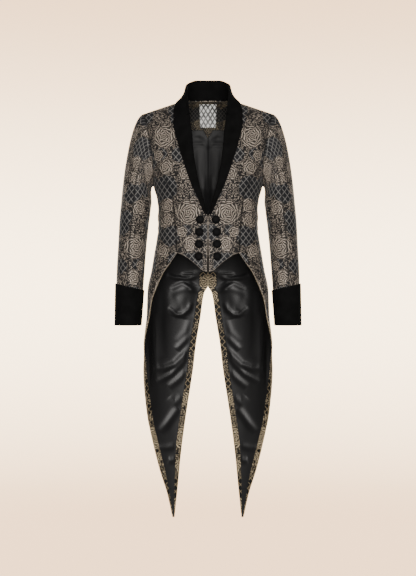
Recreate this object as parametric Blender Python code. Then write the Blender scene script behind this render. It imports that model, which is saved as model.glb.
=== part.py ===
"""A formal tailcoat, filled out with no wearer in it: brocade body and sleeves, velvet collar, lapels and cuffs.

The origin lies between the shoulders at neck height, where the coat is held up. +X is the coat's own left,
the front faces -Y and +Z is up. Sizes are in metres. Each half is worked out at +X and mirrored to -X.
"""

import math

import bmesh
import bpy
import numpy as np

SEAM = 0.0003  # clearance between pieces sewn to each other
CLOTH = 0.0020  # wall of the brocade panels
LINING = 0.0010  # wall of the satin linings
FACING = 0.0014  # wall of the brocade facings
VELVET = 0.0022  # wall of the collar and the lapels
CUFF_WALL = 0.0030  # a cuff is turned up double

ROUNDNESS = 2.4  # exponent of the superellipse that a horizontal section of the coat follows
CHEST = -0.250  # height of the armpits; above it the sections rise and close to the shoulder seams
NECK_HALF = 0.0690  # half width of the neckline at the shoulder seams
SHOULDER_TIP = 0.1916
NECK_Z = 0.0093
SHOULDER_SLOPE = 0.345
RIDGE_Y = 0.010  # the shoulder seam at the neck, behind the origin
NAPE_Y = 0.075
NAPE_Z = 0.0165
FRONT_CURVE = 2.0  # how square the front and the back turn in to the shoulder seam
BACK_CURVE = 2.6

WAIST = -0.4518  # height where the cutaway starts at the corner of the front
FRONT_TIP_X = 0.0018  # the lowest corner of a front, beside the centre
VENT_TOP = -0.550
TAIL_END = -1.262

ARMHOLE_MIDDLE = -0.150  # level where the straight sides of the armhole end and its round bottom starts
PRINCESS_TOP = -0.165
SIDE_BACK_TOP = -0.130
TOP_ZONE_END = -0.270


def table(columns, *rows):
    """Numbers with named columns, in rising order of the first one."""
    values = np.array(sorted(rows), float)
    return dict(zip(columns.split(), values.T))


def read(rows, key, column, at):
    """One column of a table at a value of its key column, along a smooth curve with no overshoot."""
    keys, values = rows[key], rows[column]
    at = min(max(at, keys[0]), keys[-1])
    slopes = np.diff(values) / np.diff(keys)
    i = min(int(np.searchsorted(keys, at, "right")) - 1, len(keys) - 2)

    def tangent(k):
        if k == 0 or k == len(keys) - 1:
            return slopes[min(k, len(slopes) - 1)]
        before, after = slopes[k - 1], slopes[k]
        return 0 if before * after <= 0 else 2 * before * after / (before + after)

    span = keys[i + 1] - keys[i]
    t = (at - keys[i]) / span
    rise = t * t * (3 - 2 * t)
    bend = span * (tangent(i) * t * (1 - t) ** 2 - tangent(i + 1) * t * t * (1 - t))
    return float(values[i] + (values[i + 1] - values[i]) * rise + bend)


RINGS = table(
    "level half_width front back",
    (0.000, 0.2018, 0.118, 0.112),
    (-0.050, 0.1907, 0.118, 0.112),
    (-0.100, 0.1811, 0.120, 0.112),
    (-0.150, 0.1753, 0.122, 0.112),
    (-0.200, 0.1680, 0.124, 0.110),
    (-0.250, 0.1630, 0.125, 0.106),
    (-0.287, 0.1530, 0.123, 0.098),
    (-0.323, 0.1490, 0.117, 0.090),
    (-0.363, 0.1500, 0.112, 0.085),
    (-0.403, 0.1530, 0.113, 0.088),
    (-0.452, 0.1610, 0.118, 0.097),
    (-0.500, 0.1690, 0.124, 0.107),
    (-0.561, 0.1810, 0.127, 0.115),
    (-0.633, 0.1840, 0.128, 0.118),
    (-0.683, 0.1896, 0.128, 0.119),
    (-0.757, 0.1975, 0.128, 0.120),
    (-0.810, 0.2030, 0.128, 0.120),
    (-0.900, 0.2070, 0.128, 0.121),
    (-1.030, 0.2150, 0.128, 0.122),
    (-1.270, 0.2300, 0.128, 0.125),
)
ARMHOLE = table(
    "level front back",
    (0.000, 20.0, 20.0),
    (-0.050, 19.5, 21.0),
    (-0.100, 19.5, 23.0),
    (-0.150, 20.0, 24.0),
)
# The edge that folds over as the lapel, seen from the front, and the lapel's outer edge
LAPEL = table(
    "z roll edge",
    (-0.040, 0.0560, 0.1010),
    (-0.064, 0.0530, 0.1022),
    (-0.085, 0.0500, 0.0995),
    (-0.104, 0.0480, 0.0954),
    (-0.148, 0.0446, 0.0837),
    (-0.184, 0.0400, 0.0724),
    (-0.2135, 0.0349, 0.0630),
    (-0.255, 0.0262, 0.0475),
    (-0.296, 0.0145, 0.0290),
    (-0.330, 0.0062, 0.0140),
    (-0.346, 0.0022, 0.0062),
)
FRONT_EDGE = table(
    "z x",
    (0.0093, 0.0690),
    (-0.010, 0.0655),
    (-0.025, 0.0615),
    (-0.040, 0.0582),
    (-0.064, 0.0555),
    (-0.104, 0.0505),
    (-0.148, 0.0470),
    (-0.184, 0.0424),
    (-0.2135, 0.0372),
    (-0.255, 0.0284),
    (-0.296, 0.0167),
    (-0.330, 0.0082),
    (-0.352, 0.0008),
    (-0.460, 0.0008),
    (-0.509, FRONT_TIP_X),
)
PRINCESS = table(
    "z x",
    (-0.190, 0.1560),
    (-0.230, 0.1300),
    (-0.270, 0.1090),
    (-0.330, 0.0990),
    (-0.400, 0.0940),
    (-0.452, 0.0910),
)
HEM = table(
    "x z",
    (0.0000, -0.5085),
    (0.0163, -0.5032),
    (0.0285, -0.4925),
    (0.0465, -0.4770),
    (0.0757, -0.4575),
    (0.0910, -0.4518),
)
# The cutaway edge starts on the front half of the coat and comes round to the back half
CUTAWAY = table(
    "z x half",
    (-0.4518, 0.0910, -1),
    (-0.474, 0.1060, -1),
    (-0.512, 0.1340, -1),
    (-0.555, 0.1540, -1),
    (-0.594, 0.1690, -1),
    (-0.644, 0.1775, -1),
    (-0.683, 0.1870, -1),
    (-0.756, 0.1960, 1),
    (-0.813, 0.1965, 1),
    (-0.893, 0.1900, 1),
    (-0.963, 0.1820, 1),
    (-1.032, 0.1680, 1),
    (-1.1125, 0.1490, 1),
    (-1.188, 0.1260, 1),
    (-1.262, 0.1096, 1),
)
SIDE_BACK = table(
    "z x",
    (-0.170, 0.1500),
    (-0.220, 0.1230),
    (-0.290, 0.0860),
    (-0.360, 0.0650),
    (-0.450, 0.0600),
    (-0.550, 0.0680),
    (-0.650, 0.0830),
    (-0.800, 0.1040),
    (-0.950, 0.1140),
    (-1.100, 0.1155),
    (-1.200, 0.1115),
    (-1.262, 0.1068),
)
VENT = table(
    "z x",
    (-0.550, 0.0000),
    (-0.572, 0.0123),
    (-0.646, 0.0237),
    (-0.726, 0.0369),
    (-0.806, 0.0464),
    (-0.863, 0.0550),
    (-0.954, 0.0692),
    (-1.062, 0.0835),
    (-1.177, 0.0949),
    (-1.262, 0.1040),
)
SLEEVE = table(
    "z outer inner middle_y depth",
    (-0.300, 0.2605, 0.1690, 0.000, 0.0620),
    (-0.354, 0.2655, 0.1760, -0.002, 0.0600),
    (-0.427, 0.2690, 0.1836, -0.008, 0.0565),
    (-0.500, 0.2725, 0.1890, -0.016, 0.0530),
    (-0.558, 0.2737, 0.1930, -0.023, 0.0505),
    (-0.670, 0.2747, 0.2010, -0.036, 0.0470),
)

LABEL_TOP = -0.0064  # levels down the back of the neck
LABEL_HEM = -0.0743
NECK_FACING_HEM = -0.0806
BELOW_POINT = -0.105
NECK_POINT = 0.022  # how far the neck facing's small point hangs down
POINT_ROOM = 0.010  # how far the row below the point gives way to it

FRONT_LEVELS = (0, -0.003, -0.012, -0.030, -0.055, -0.085, -0.122, PRINCESS_TOP, -0.197, -0.232, TOP_ZONE_END,
                -0.310, -0.355, -0.400)
FRONT_HEM_ROWS = 3
FRONT_COLUMNS = (0, 0.11, 0.23, 0.37, 0.52, 0.68, 0.84, 1)
BACK_TOP_LEVELS = (0, LABEL_TOP, -0.020, -0.045, LABEL_HEM, NECK_FACING_HEM, BELOW_POINT, SIDE_BACK_TOP, -0.170,
                   -0.215)
LOWER_LEVELS = (TOP_ZONE_END, -0.310, -0.355, -0.400, WAIST, -0.480, -0.505, -0.528, VENT_TOP, -0.575, -0.605,
                -0.640, -0.680, -0.725, -0.775, -0.830, -0.890, -0.955, -1.020, -1.080, -1.130, -1.175, -1.220,
                TAIL_END)
NECK_FACING_SHARE = 0.229  # of the way from the centre back to the seam
LABEL_SHARE = 0.075
BACK_SHARES = (1, 0.80, 0.60, 0.40, NECK_FACING_SHARE, 0.178, 0.127, LABEL_SHARE, 0.04, 0)
SIDE_SHARES = (0, 0.18, 0.36, 0.52, 0.68, 0.84, 1)
SCOOP_END = 0.92  # share of the side body's top edge that follows the armhole's round bottom

EDGE_FACING_WIDTH = 0.016
VENT_FACING_WIDTH = 0.019
VENT_BLOCK_WIDTH = 0.0255
FACING_TOP = -0.505
FACINGS_MEET = -1.175


def shoulder(x, front):
    """Depth and height of the shoulder seam, or of the neckline inside it, at a distance from the centre."""
    if x >= NECK_HALF:
        depth = RIDGE_Y * (SHOULDER_TIP - x) / (SHOULDER_TIP - NECK_HALF)
        return depth, NECK_Z - SHOULDER_SLOPE * (x - NECK_HALF)
    if front:
        return RIDGE_Y, NECK_Z
    across = math.sqrt(1 - (x / NECK_HALF) ** 2)
    return RIDGE_Y + (NAPE_Y - RIDGE_Y) * across, NECK_Z + (NAPE_Z - NECK_Z) * across


def torso(angle, level):
    """A point of the coat's outer face: 0 degrees at the centre front, 90 at the side, 180 at the centre back."""
    sine, cosine = math.sin(math.radians(angle)), math.cos(math.radians(angle))
    front = angle < 90
    x = read(RINGS, "level", "half_width", level) * abs(sine) ** (2 / ROUNDNESS)
    depth = read(RINGS, "level", "front" if front else "back", min(level, CHEST))
    y = depth * abs(cosine) ** (2 / ROUNDNESS) * (-1 if front else 1)
    if level <= CHEST:
        return np.array((x, y, level))
    rise = 1 - level / CHEST
    curve = FRONT_CURVE if front else BACK_CURVE
    ridge_y, ridge_z = shoulder(x, front)
    lean = max(1 - rise**curve, 0) ** (1 / curve)
    return np.array((x, ridge_y + (y - ridge_y) * lean, CHEST + (ridge_z - CHEST) * rise))


def outward(angle, level):
    """The outer face's unit normal, square to the centre plane at the centre front and back."""
    step = 0.02 if angle <= 179.9 else -0.02
    height = 2e-5 if level < -1e-3 else -2e-5
    along = (torso(angle + step, level) - torso(angle, level)) / step
    up = (torso(angle, level + height) - torso(angle, level)) / height
    normal = np.cross(along, up)
    if angle > 179.999 or angle < 0.001:
        normal[0] = 0
    return normal / np.linalg.norm(normal)


def angle_for(x, level, front):
    half_width = read(RINGS, "level", "half_width", level)
    turn = math.degrees(math.asin(min(x / half_width, 1) ** (ROUNDNESS / 2)))
    return turn if front else 180 - turn


def level_for(x, z, front):
    """The level of the surface point that lies at height z."""
    if z <= CHEST:
        return z
    return CHEST * (1 - (z - CHEST) / (shoulder(x, front)[1] - CHEST))


def edge_angle(edge, level, front):
    """Where an edge, given by its height and its distance from the centre, crosses a level."""
    z = level
    for _ in range(4):
        x = read(edge, "z", "x", z)
        z = level if level <= CHEST else CHEST + (shoulder(x, front)[1] - CHEST) * (1 - level / CHEST)
    return angle_for(x, level, front)


def armhole_angle(level, front):
    """The armhole's front or back edge: straight above its middle, half an ellipse below it."""
    if level >= ARMHOLE_MIDDLE:
        spread = read(ARMHOLE, "level", "front" if front else "back", level)
    else:
        drop = (ARMHOLE_MIDDLE - level) / (ARMHOLE_MIDDLE - CHEST)
        spread = ARMHOLE["front" if front else "back"][0] * math.sqrt(max(1 - drop**2, 0))
    return 90 - spread if front else 90 + spread


PRINCESS_ANGLES = table(
    "level angle",
    (PRINCESS_TOP, armhole_angle(PRINCESS_TOP, True)),
    *((z, edge_angle(PRINCESS, z, True)) for z in PRINCESS["z"]),
)
CUTAWAY_ANGLES = table(
    "level angle",
    *((z, angle_for(x, z, half < 0)) for z, x, half in zip(CUTAWAY["z"], CUTAWAY["x"], CUTAWAY["half"])),
)
SIDE_BACK_ANGLES = table(
    "level angle",
    (SIDE_BACK_TOP, armhole_angle(SIDE_BACK_TOP, False)),
    *((z, edge_angle(SIDE_BACK, z, False)) for z in SIDE_BACK["z"]),
)


def princess(level):
    """The seam between front and side body, which ends at the corner where the cutaway starts."""
    return read(PRINCESS_ANGLES, "level", "angle", level)


def tail_edge(level):
    return princess(level) if level >= WAIST else read(CUTAWAY_ANGLES, "level", "angle", level)


def side_back(level):
    return read(SIDE_BACK_ANGLES, "level", "angle", level)


def back_edge(level):
    """The centre back seam and, below it, the edge of the vent."""
    return 180 if level >= VENT_TOP else edge_angle(VENT, level, False)


def front_outer(level):
    return armhole_angle(level, True) if level >= PRINCESS_TOP else princess(level)


def back_outer(level):
    return armhole_angle(level, False) if level >= SIDE_BACK_TOP else side_back(level)


def per_metre(angle, level):
    """Degrees for each metre along a section."""
    return 0.5 / np.linalg.norm(torso(angle + 0.25, level) - torso(angle - 0.25, level))


def places_front():
    """Rows of (angle, level) of a front, the last ones curved along its hem."""
    rows = []
    for level in FRONT_LEVELS:
        inner, outer = edge_angle(FRONT_EDGE, level, True), front_outer(level)
        rows.append([(inner + (outer - inner) * share, level) for share in FRONT_COLUMNS])
    start = FRONT_LEVELS[-1]
    corner = read(PRINCESS, "z", "x", WAIST)
    for k in range(1, FRONT_HEM_ROWS + 1):
        row = []
        for share in FRONT_COLUMNS:
            x = max(corner * share, FRONT_TIP_X)
            level = start + (read(HEM, "x", "z", x) - start) * k / FRONT_HEM_ROWS
            inner = edge_angle(FRONT_EDGE, level, True)
            outer = princess(start + (WAIST - start) * k / FRONT_HEM_ROWS)
            flat = inner + (outer - inner) * share
            row.append((flat + (angle_for(x, level, True) - flat) * (k / FRONT_HEM_ROWS), level))
        rows.append(row)
    return rows


def places_back():
    """Rows of (angle, level) of a back, from the armhole side to the centre back."""
    rows = []
    for level in BACK_TOP_LEVELS + LOWER_LEVELS:
        inner, outer = back_edge(level), back_outer(level)
        row = [(inner + (outer - inner) * share, level) for share in BACK_SHARES]
        if level == NECK_FACING_HEM:
            row[-1] = (180, level - NECK_POINT)
        if level == BELOW_POINT:
            row[-1] = (180, level - POINT_ROOM)
        if level <= FACING_TOP:
            if level >= VENT_TOP:
                strip = 180 - angle_for(VENT_BLOCK_WIDTH, level, False)
            else:
                strip = VENT_FACING_WIDTH * per_metre(inner, level)
            strip = min(strip, 0.5 * (inner - outer))
            count = len(BACK_SHARES) - 3
            row = [(outer + (inner - strip - outer) * k / count, level) for k in range(count + 1)]
            row += [(inner - strip / 2, level), (inner, level)]
        rows.append(row)
    return rows


def places_side():
    """Rows of (angle, level) of a side body and outer tail, from its front edge to the side back seam."""
    front_ends = [level for level in FRONT_LEVELS if PRINCESS_TOP >= level >= TOP_ZONE_END]
    back_ends = [level for level in BACK_TOP_LEVELS if level <= SIDE_BACK_TOP] + [TOP_ZONE_END]
    scoop = [armhole_ring_place(share) for share in SIDE_SHARES]
    base = [(princess(TOP_ZONE_END) + (side_back(TOP_ZONE_END) - princess(TOP_ZONE_END)) * share, TOP_ZONE_END)
            for share in SIDE_SHARES]
    rows = []
    for k, (front_level, back_level) in enumerate(zip(front_ends, back_ends)):
        w = k / (len(front_ends) - 1)
        left, right = (princess(front_level), front_level), (side_back(back_level), back_level)
        row = []
        for i, share in enumerate(SIDE_SHARES):
            place = []
            for axis in range(2):
                middle = scoop[i][axis] * (1 - w) + base[i][axis] * w
                off_left = left[axis] - (scoop[0][axis] * (1 - w) + base[0][axis] * w)
                off_right = right[axis] - (scoop[-1][axis] * (1 - w) + base[-1][axis] * w)
                place.append(middle + off_left * (1 - share) + off_right * share)
            row.append(tuple(place))
        rows.append(row)
    for level in LOWER_LEVELS[1:]:
        outer, seam = tail_edge(level), side_back(level)
        row = [(outer + (seam - outer) * share, level) for share in SIDE_SHARES]
        if level < WAIST:
            strip = min(EDGE_FACING_WIDTH * per_metre(outer, level), 0.5 * (seam - outer))
            count = len(SIDE_SHARES) - 2
            row = [(outer, level)]
            row += [(outer + strip + (seam - outer - strip) * k / count, level) for k in range(count + 1)]
        rows.append(row)
    return rows


def armhole_ring_place(share):
    """A place on the bottom of the armhole, from the princess seam at 0 to the side back seam at 1."""
    start = -math.acos((ARMHOLE_MIDDLE - PRINCESS_TOP) / (ARMHOLE_MIDDLE - CHEST))
    end = math.pi / 2
    turn = start + (end - start) * share / SCOOP_END
    if turn > end:
        past = (share - SCOOP_END) / (1 - SCOOP_END)
        level = ARMHOLE_MIDDLE + (SIDE_BACK_TOP - ARMHOLE_MIDDLE) * past
        return armhole_angle(level, False), level
    level = ARMHOLE_MIDDLE - (ARMHOLE_MIDDLE - CHEST) * math.cos(turn)
    spread = ARMHOLE["front" if turn < 0 else "back"][0]
    return 90 + spread * math.sin(turn), level


def on_torso(places):
    points = np.array([[torso(*place) for place in row] for row in places])
    normals = np.array([[outward(*place) for place in row] for row in places])
    return points, normals


def grid_normals(points, around):
    """Unit normals of a grid of points whose columns close to a ring where around is true."""
    down = np.gradient(points, axis=0)
    if around:
        across = np.roll(points, -1, axis=1) - np.roll(points, 1, axis=1)
    else:
        across = np.gradient(points, axis=1)
    normals = np.cross(across, -down)
    return normals / np.linalg.norm(normals, axis=2, keepdims=True)


def trimmed(points, ring=False):
    """The same grid with its open edges drawn in by half the seam clearance."""
    points = points.copy()
    for axis in ((0,) if ring else (0, 1)):
        rows = np.swapaxes(points, 0, axis)
        for edge, inside in ((0, 1), (-1, -2)):
            pull = rows[inside] - rows[edge]
            length = np.linalg.norm(pull, axis=1, keepdims=True)
            rows[edge] += pull / np.maximum(length, 1e-9) * SEAM / 2
    return points


def wall(name, points, normals, inner, outer, material, ring=False, mirror=False, centre=None):
    """A closed wall over a grid of points, between two distances along the normals.

    The cells' diagonals turn the other way past the centre column, as on the panels of the other half.
    """
    points = trimmed(points, ring)
    faces = [points + normals * outer, points + normals * inner]
    if mirror:
        faces = [face * np.array((-1, 1, 1)) for face in faces]
    mesh = bmesh.new()
    skins = [[[mesh.verts.new(point) for point in row] for row in face] for face in faces]
    count_rows, count_columns = points.shape[:2]
    last = count_columns if ring else count_columns - 1
    for skin, flip in zip(skins, (False, True)):
        for i in range(count_rows - 1):
            for j in range(last):
                k = (j + 1) % count_columns
                a, b, c, d = skin[i][j], skin[i + 1][j], skin[i + 1][k], skin[i][k]
                triangles = ((a, b, c), (a, c, d))
                if centre is not None and j >= centre:
                    triangles = ((a, b, d), (b, c, d))
                for corners in triangles:
                    mesh.faces.new(corners[::-1] if flip else corners)
    rim = [((0, j), (0, (j + 1) % count_columns)) for j in range(last)]
    rim += [((count_rows - 1, j), (count_rows - 1, (j + 1) % count_columns)) for j in range(last)]
    if not ring:
        rim += [((i, 0), (i + 1, 0)) for i in range(count_rows - 1)]
        rim += [((i, count_columns - 1), (i + 1, count_columns - 1)) for i in range(count_rows - 1)]
    for (a, b), (c, d) in rim:
        mesh.faces.new((skins[0][a][b], skins[0][c][d], skins[1][c][d], skins[1][a][b]))
    return finished(name, mesh, material)


def finished(name, mesh, material):
    bmesh.ops.recalc_face_normals(mesh, faces=mesh.faces[:])
    data = bpy.data.meshes.new(name)
    mesh.to_mesh(data)
    mesh.free()
    data.materials.append(material)
    data.shade_smooth()
    data.set_sharp_from_angle(angle=math.radians(40))
    thing = bpy.data.objects.new(name, data)
    bpy.context.scene.collection.objects.link(thing)
    return thing


BROCADE = dict(colour=(0.120, 0.105, 0.095), roughness=0.6)
FACING_BROCADE = dict(colour=(0.230, 0.190, 0.150), roughness=0.6)
BLACK_VELVET = dict(colour=(0.008, 0.008, 0.008), roughness=0.8, sheen=0.4)
BLACK_SATIN = dict(colour=(0.022, 0.022, 0.023), roughness=0.35)
LABEL_SATIN = dict(colour=(0.500, 0.500, 0.480), roughness=0.45)


def cloth(name, colour, roughness, metallic=0.0, sheen=0.0):
    material = bpy.data.materials.new(name)
    material.use_nodes = True
    shader = material.node_tree.nodes["Principled BSDF"]
    shader.inputs["Base Color"].default_value = (*colour, 1)
    shader.inputs["Roughness"].default_value = roughness
    shader.inputs["Metallic"].default_value = metallic
    shader.inputs["Sheen Weight"].default_value = sheen
    return material


def both_sides(name, points, normals, inner, outer, finish, ring=False):
    for side in "LR":
        wall(f"{name}_{side}", points, normals, inner, outer, cloth(f"{name}_{side} cloth", **finish), ring,
             mirror=side == "R")


def make_body():
    """Fronts, side bodies and backs, whose outer faces are the coat's surface."""
    grids = {"front": on_torso(places_front()), "side": on_torso(places_side()), "back": on_torso(places_back())}
    for name, (points, normals) in grids.items():
        both_sides(name, points, normals, -CLOTH, 0, BROCADE)
    return grids


# The tail lining's large folds: straight ridges from one end to the other, and an oval one round a middle
TAIL_FOLDS = table(
    "x0 z0 x1 z1 height width",
    (0.125, -0.525, 0.026, -0.520, 0.0045, 0.007),
    (0.095, -0.708, 0.052, -0.690, 0.0035, 0.009),
    (0.150, -0.800, 0.056, -0.735, 0.0055, 0.010),
    (0.120, -0.850, 0.072, -0.812, 0.0035, 0.009),
    (0.140, -0.985, 0.092, -0.925, 0.0030, 0.012),
)
OVAL_X, OVAL_Z = 0.079, -0.590
OVAL_HALF_WIDTH, OVAL_HALF_HEIGHT = 0.034, 0.042
OVAL_FOLD = 0.0070
OVAL_RADIUS, OVAL_SOFTNESS = 0.95, 0.05  # where the fold stands, as a share of the half sizes, and how broad


def fold_depth(x, z):
    """How far the tail lining's large folds stand off the tail, by distance from the centre and height."""
    oval = math.hypot((x - OVAL_X) / OVAL_HALF_WIDTH, (z - OVAL_Z) / OVAL_HALF_HEIGHT)
    depth = OVAL_FOLD * math.exp(-((oval - OVAL_RADIUS) ** 2) / OVAL_SOFTNESS)
    for x0, z0, x1, z1, height, width in zip(*TAIL_FOLDS.values()):
        along = np.array((x1 - x0, z1 - z0))
        reach = min(max(np.dot((x - x0, z - z0), along) / np.dot(along, along), 0), 1)
        away = math.hypot(x - x0 - reach * along[0], z - z0 - reach * along[1])
        depth += height * math.exp(-((away / width) ** 2))
    return depth


def make_linings(grids):
    """Linings and facings take the grid points of the panels they lie in, moved in."""
    back, back_normals = grids["back"]
    side, side_normals = grids["side"]
    levels = BACK_TOP_LEVELS + LOWER_LEVELS
    row = {level: i for i, level in enumerate(levels)}
    facing_hem = row[NECK_FACING_HEM]
    waist = row[WAIST]
    flip = np.array((-1, 1, 1))

    def both_halves(points):
        """A grid over both halves of the back, the centre line once."""
        return np.concatenate([points, (points * flip)[:, -2::-1]], axis=1)

    inside = -CLOTH - SEAM
    yoke = slice(0, facing_hem + 1), slice(BACK_SHARES.index(NECK_FACING_SHARE), None)
    wall("neck_facing", both_halves(back[yoke]), both_halves(back_normals[yoke]), inside - FACING, inside,
         cloth("neck_facing brocade", **FACING_BROCADE), centre=back[yoke].shape[1] - 1)
    tag = slice(row[LABEL_TOP], row[LABEL_HEM] + 1), slice(BACK_SHARES.index(LABEL_SHARE), None)
    behind = inside - FACING - SEAM
    wall("label", both_halves(back[tag]), both_halves(back_normals[tag]), behind - LINING, behind,
         cloth("label satin", **LABEL_SATIN), centre=back[tag].shape[1] - 1)

    upper = slice(facing_hem, waist + 1), slice(1, None)
    both_sides("lining_back", back[upper], back_normals[upper], inside - LINING, inside, BLACK_SATIN)

    meet = row[FACINGS_MEET]
    to_side = len(side) - len(back)  # from a row of the back to the side body's row at the same level
    first, last = waist + to_side, meet + to_side
    tail = np.concatenate([side[first:last + 1, 1:-1], back[waist:meet + 1, :-2]], axis=1)
    tail_normals = np.concatenate([side_normals[first:last + 1, 1:-1], back_normals[waist:meet + 1, :-2]], axis=1)
    drop = np.array([[fold_depth(x, z) for x, _, z in line] for line in tail])
    drop[0], drop[-1], drop[:, 0], drop[:, -1] = 0, 0, 0, 0
    folded = tail - tail_normals * drop[:, :, None]
    both_sides("tail_lining", folded, tail_normals, inside - LINING, inside, BLACK_SATIN)

    strip = slice(row[FACING_TOP], None), slice(-3, None)
    both_sides("vent_facing", back[strip], back_normals[strip], inside - FACING, inside, FACING_BROCADE)
    edge = slice(first + 1, None), slice(0, 2)
    both_sides("edge_facing", side[edge], side_normals[edge], inside - FACING, inside, FACING_BROCADE)


def armhole_ring(grids):
    """The panel points around the left armhole, from the shoulder tip down the front and up the back.

    With them come the places in the ring of the princess seam and of the side back seam.
    """
    front, side, back = (grids[name][0] for name in ("front", "side", "back"))
    down = FRONT_LEVELS.index(PRINCESS_TOP)
    up = BACK_TOP_LEVELS.index(SIDE_BACK_TOP)
    points = np.concatenate([front[:down + 1, -1], side[0, 1:-1], back[up:0:-1, 0]])
    return points, down, down + len(SIDE_SHARES) - 1


HEAD_SHARES = (0.0, 0.14, 0.32, 0.54, 0.78)
# The handles of the head's curve at the armhole and on the upper arm, with what the top of the head adds
LEAVE_OUT, LEAVE_OUT_TOP = 0.012, 0.023
LEAVE_DROP_TOP, LEAVE_LEAN = 0.004, 0.010
ARRIVE_ABOVE, ARRIVE_ABOVE_TOP, ARRIVE_IN_TOP = 0.018, 0.102, 0.010
SLEEVE_HEIGHTS = (-0.300, -0.350, -0.400, -0.440, -0.480, -0.525, -0.575, -0.640)
CUFF_HEM = -0.666
CUFF_TOP = -0.5513
CUFF_SLANT = 0.0097  # its top edge runs up from the inner side to the outer side
CUFF_SHARES = (0, 0.45, 1)


def sleeve_ring(z, turns):
    """A level section of the sleeve: 0 degrees at its outer side, 90 in front, 180 next to the body."""
    outer, inner = read(SLEEVE, "z", "outer", z), read(SLEEVE, "z", "inner", z)
    middle, depth = read(SLEEVE, "z", "middle_y", z), read(SLEEVE, "z", "depth", z)
    turns = np.radians(turns)
    across = (outer + inner) / 2 + (outer - inner) / 2 * np.cos(turns)
    return np.stack([across, middle - depth * np.sin(turns), np.full(len(turns), z)], axis=1)


def make_sleeves(grids):
    """The sleeve head curves from the armhole out to the upper arm, and the rest follows level sections."""
    hole, princess_place, side_back_place = armhole_ring(grids)
    steps = np.linalg.norm(np.diff(np.concatenate([hole, hole[:1]]), axis=0), axis=1)
    travelled = np.concatenate([[0], np.cumsum(steps)])
    lowest = int(np.argmin(hole[:, 2]))
    half = travelled[lowest]
    turns = np.where(np.arange(len(hole)) <= lowest, 180 * travelled[:-1] / half,
                     180 + 180 * (travelled[:-1] - half) / (travelled[-1] - half))
    topness = (1 + np.cos(np.radians(turns))) / 2
    start = hole + np.array((2 * SEAM, 0, 0))
    end = sleeve_ring(SLEEVE_HEIGHTS[0], turns)
    lean = -LEAVE_LEAN * np.sin(np.radians(turns))
    leave = start + np.stack([LEAVE_OUT + LEAVE_OUT_TOP * topness, lean, -LEAVE_DROP_TOP * topness], axis=1)
    arrive = end + np.stack([-ARRIVE_IN_TOP * topness, 0 * lean, ARRIVE_ABOVE + ARRIVE_ABOVE_TOP * topness], axis=1)
    rings = []
    for share in HEAD_SHARES:
        rest = 1 - share
        rings.append(rest**3 * start + 3 * rest**2 * share * leave + 3 * rest * share**2 * arrive + share**3 * end)
    rings += [sleeve_ring(z, turns) for z in SLEEVE_HEIGHTS]
    points = np.array(rings)
    normals = -grid_normals(points, True)

    # The seams between the upper and the under sleeve lie one place outside the side body's
    front_seam = princess_place - 1
    back_seam = side_back_place + 1
    under = slice(front_seam, back_seam + 1)
    order = list(range(back_seam, len(hole))) + list(range(front_seam + 1))
    both_sides("sleeve_upper", points[:, order], normals[:, order], -CLOTH, 0, BROCADE)
    both_sides("sleeve_under", points[:, under], normals[:, under], -CLOTH, 0, BROCADE)

    tops = CUFF_TOP + CUFF_SLANT * np.cos(np.radians(turns))
    cuff = np.array([
        [sleeve_ring(top + (CUFF_HEM - top) * share, turns[i:i + 1])[0] for i, top in enumerate(tops)]
        for share in CUFF_SHARES
    ])
    lift = 2 * SEAM
    both_sides("cuff", cuff, -grid_normals(cuff, True), lift, lift + CUFF_WALL, BLACK_VELVET, ring=True)


# The collar from the centre back to the gorge: neck seam, top of the roll, and outer edge of the fall
COLLAR = table(
    "station neck_x neck_y neck_z roll_x roll_y roll_z edge_x edge_y edge_z",
    (0, 0.0000, 0.0750, 0.0180, 0.0000, 0.0790, 0.0720, 0.0000, 0.0885, 0.0030),
    (1, 0.0340, 0.0666, 0.0172, 0.0325, 0.0695, 0.0715, 0.0410, 0.0800, 0.0030),
    (2, 0.0565, 0.0473, 0.0150, 0.0540, 0.0475, 0.0690, 0.0680, 0.0530, 0.0035),
    (3, 0.0690, 0.0110, 0.0118, 0.0628, 0.0100, 0.0600, 0.0860, 0.0120, 0.0046),
    (4, 0.0665, -0.0260, 0.0000, 0.0625, -0.0300, 0.0360, 0.0955, -0.0280, -0.0094),
    (5, 0.0622, -0.0520, -0.0240, 0.0580, -0.0580, -0.0040, 0.1005, -0.0520, -0.0320),
    (6, 0.0575, -0.0680, -0.0445, 0.0545, -0.0760, -0.0400, 0.1022, -0.0700, -0.0530),
)
COLLAR_STEPS = 13
ON_THE_FRONT = 4.2  # station past which the neck seam lies on the front
NECK_SEAM_GAP = 0.0015
COLLAR_MIDDLE_Y = 0.012  # the point that the collar's walls face away from
STAND_SHARES = (0.45, 0.88)
ROLL_WIDTH = 0.0046  # between the middles of the stand and the fall at the top of the roll
ROLL_RISE = 0.0022
FALL_SHARES = (0.0, 0.28, 0.55, 0.80, 1.0)
FALL_START = 0.95  # where the fall starts, as a share of the stand's height
FALL_FLARE = 2.6  # how late the fall leaves the stand on its way down
FALL_GAP = 0.0040  # from the coat to the middle of the fall's wall, and what the roll adds to it
FALL_GAP_ROLL = 0.0015
SHOULDER_ZONE = 0.12  # levels below the shoulder seam that are searched for the coat nearest to the fall
SHOULDER_STEPS = 60

LAPEL_HEIGHTS = (-0.054, -0.076, -0.104, -0.134, -0.164, -0.194, -0.224, -0.254, -0.282, -0.308, -0.326, -0.340)
FULL_ROLL = 0.040  # width from which the lapel rolls softly; a narrower one lies flatter
# Round the edge of the front: distances from the edge, and what a full roll adds
LAPEL_ROLL = table(
    "step x x_soft y y_soft",
    (0, -0.0022, 0.0000, 0.0030, 0.0000),
    (1, -0.0022, -0.0012, 0.0008, 0.0000),
    (2, -0.0020, -0.0016, -0.0020, 0.0000),
    (3, -0.0006, 0.0000, -0.0036, -0.0012),
)
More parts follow.
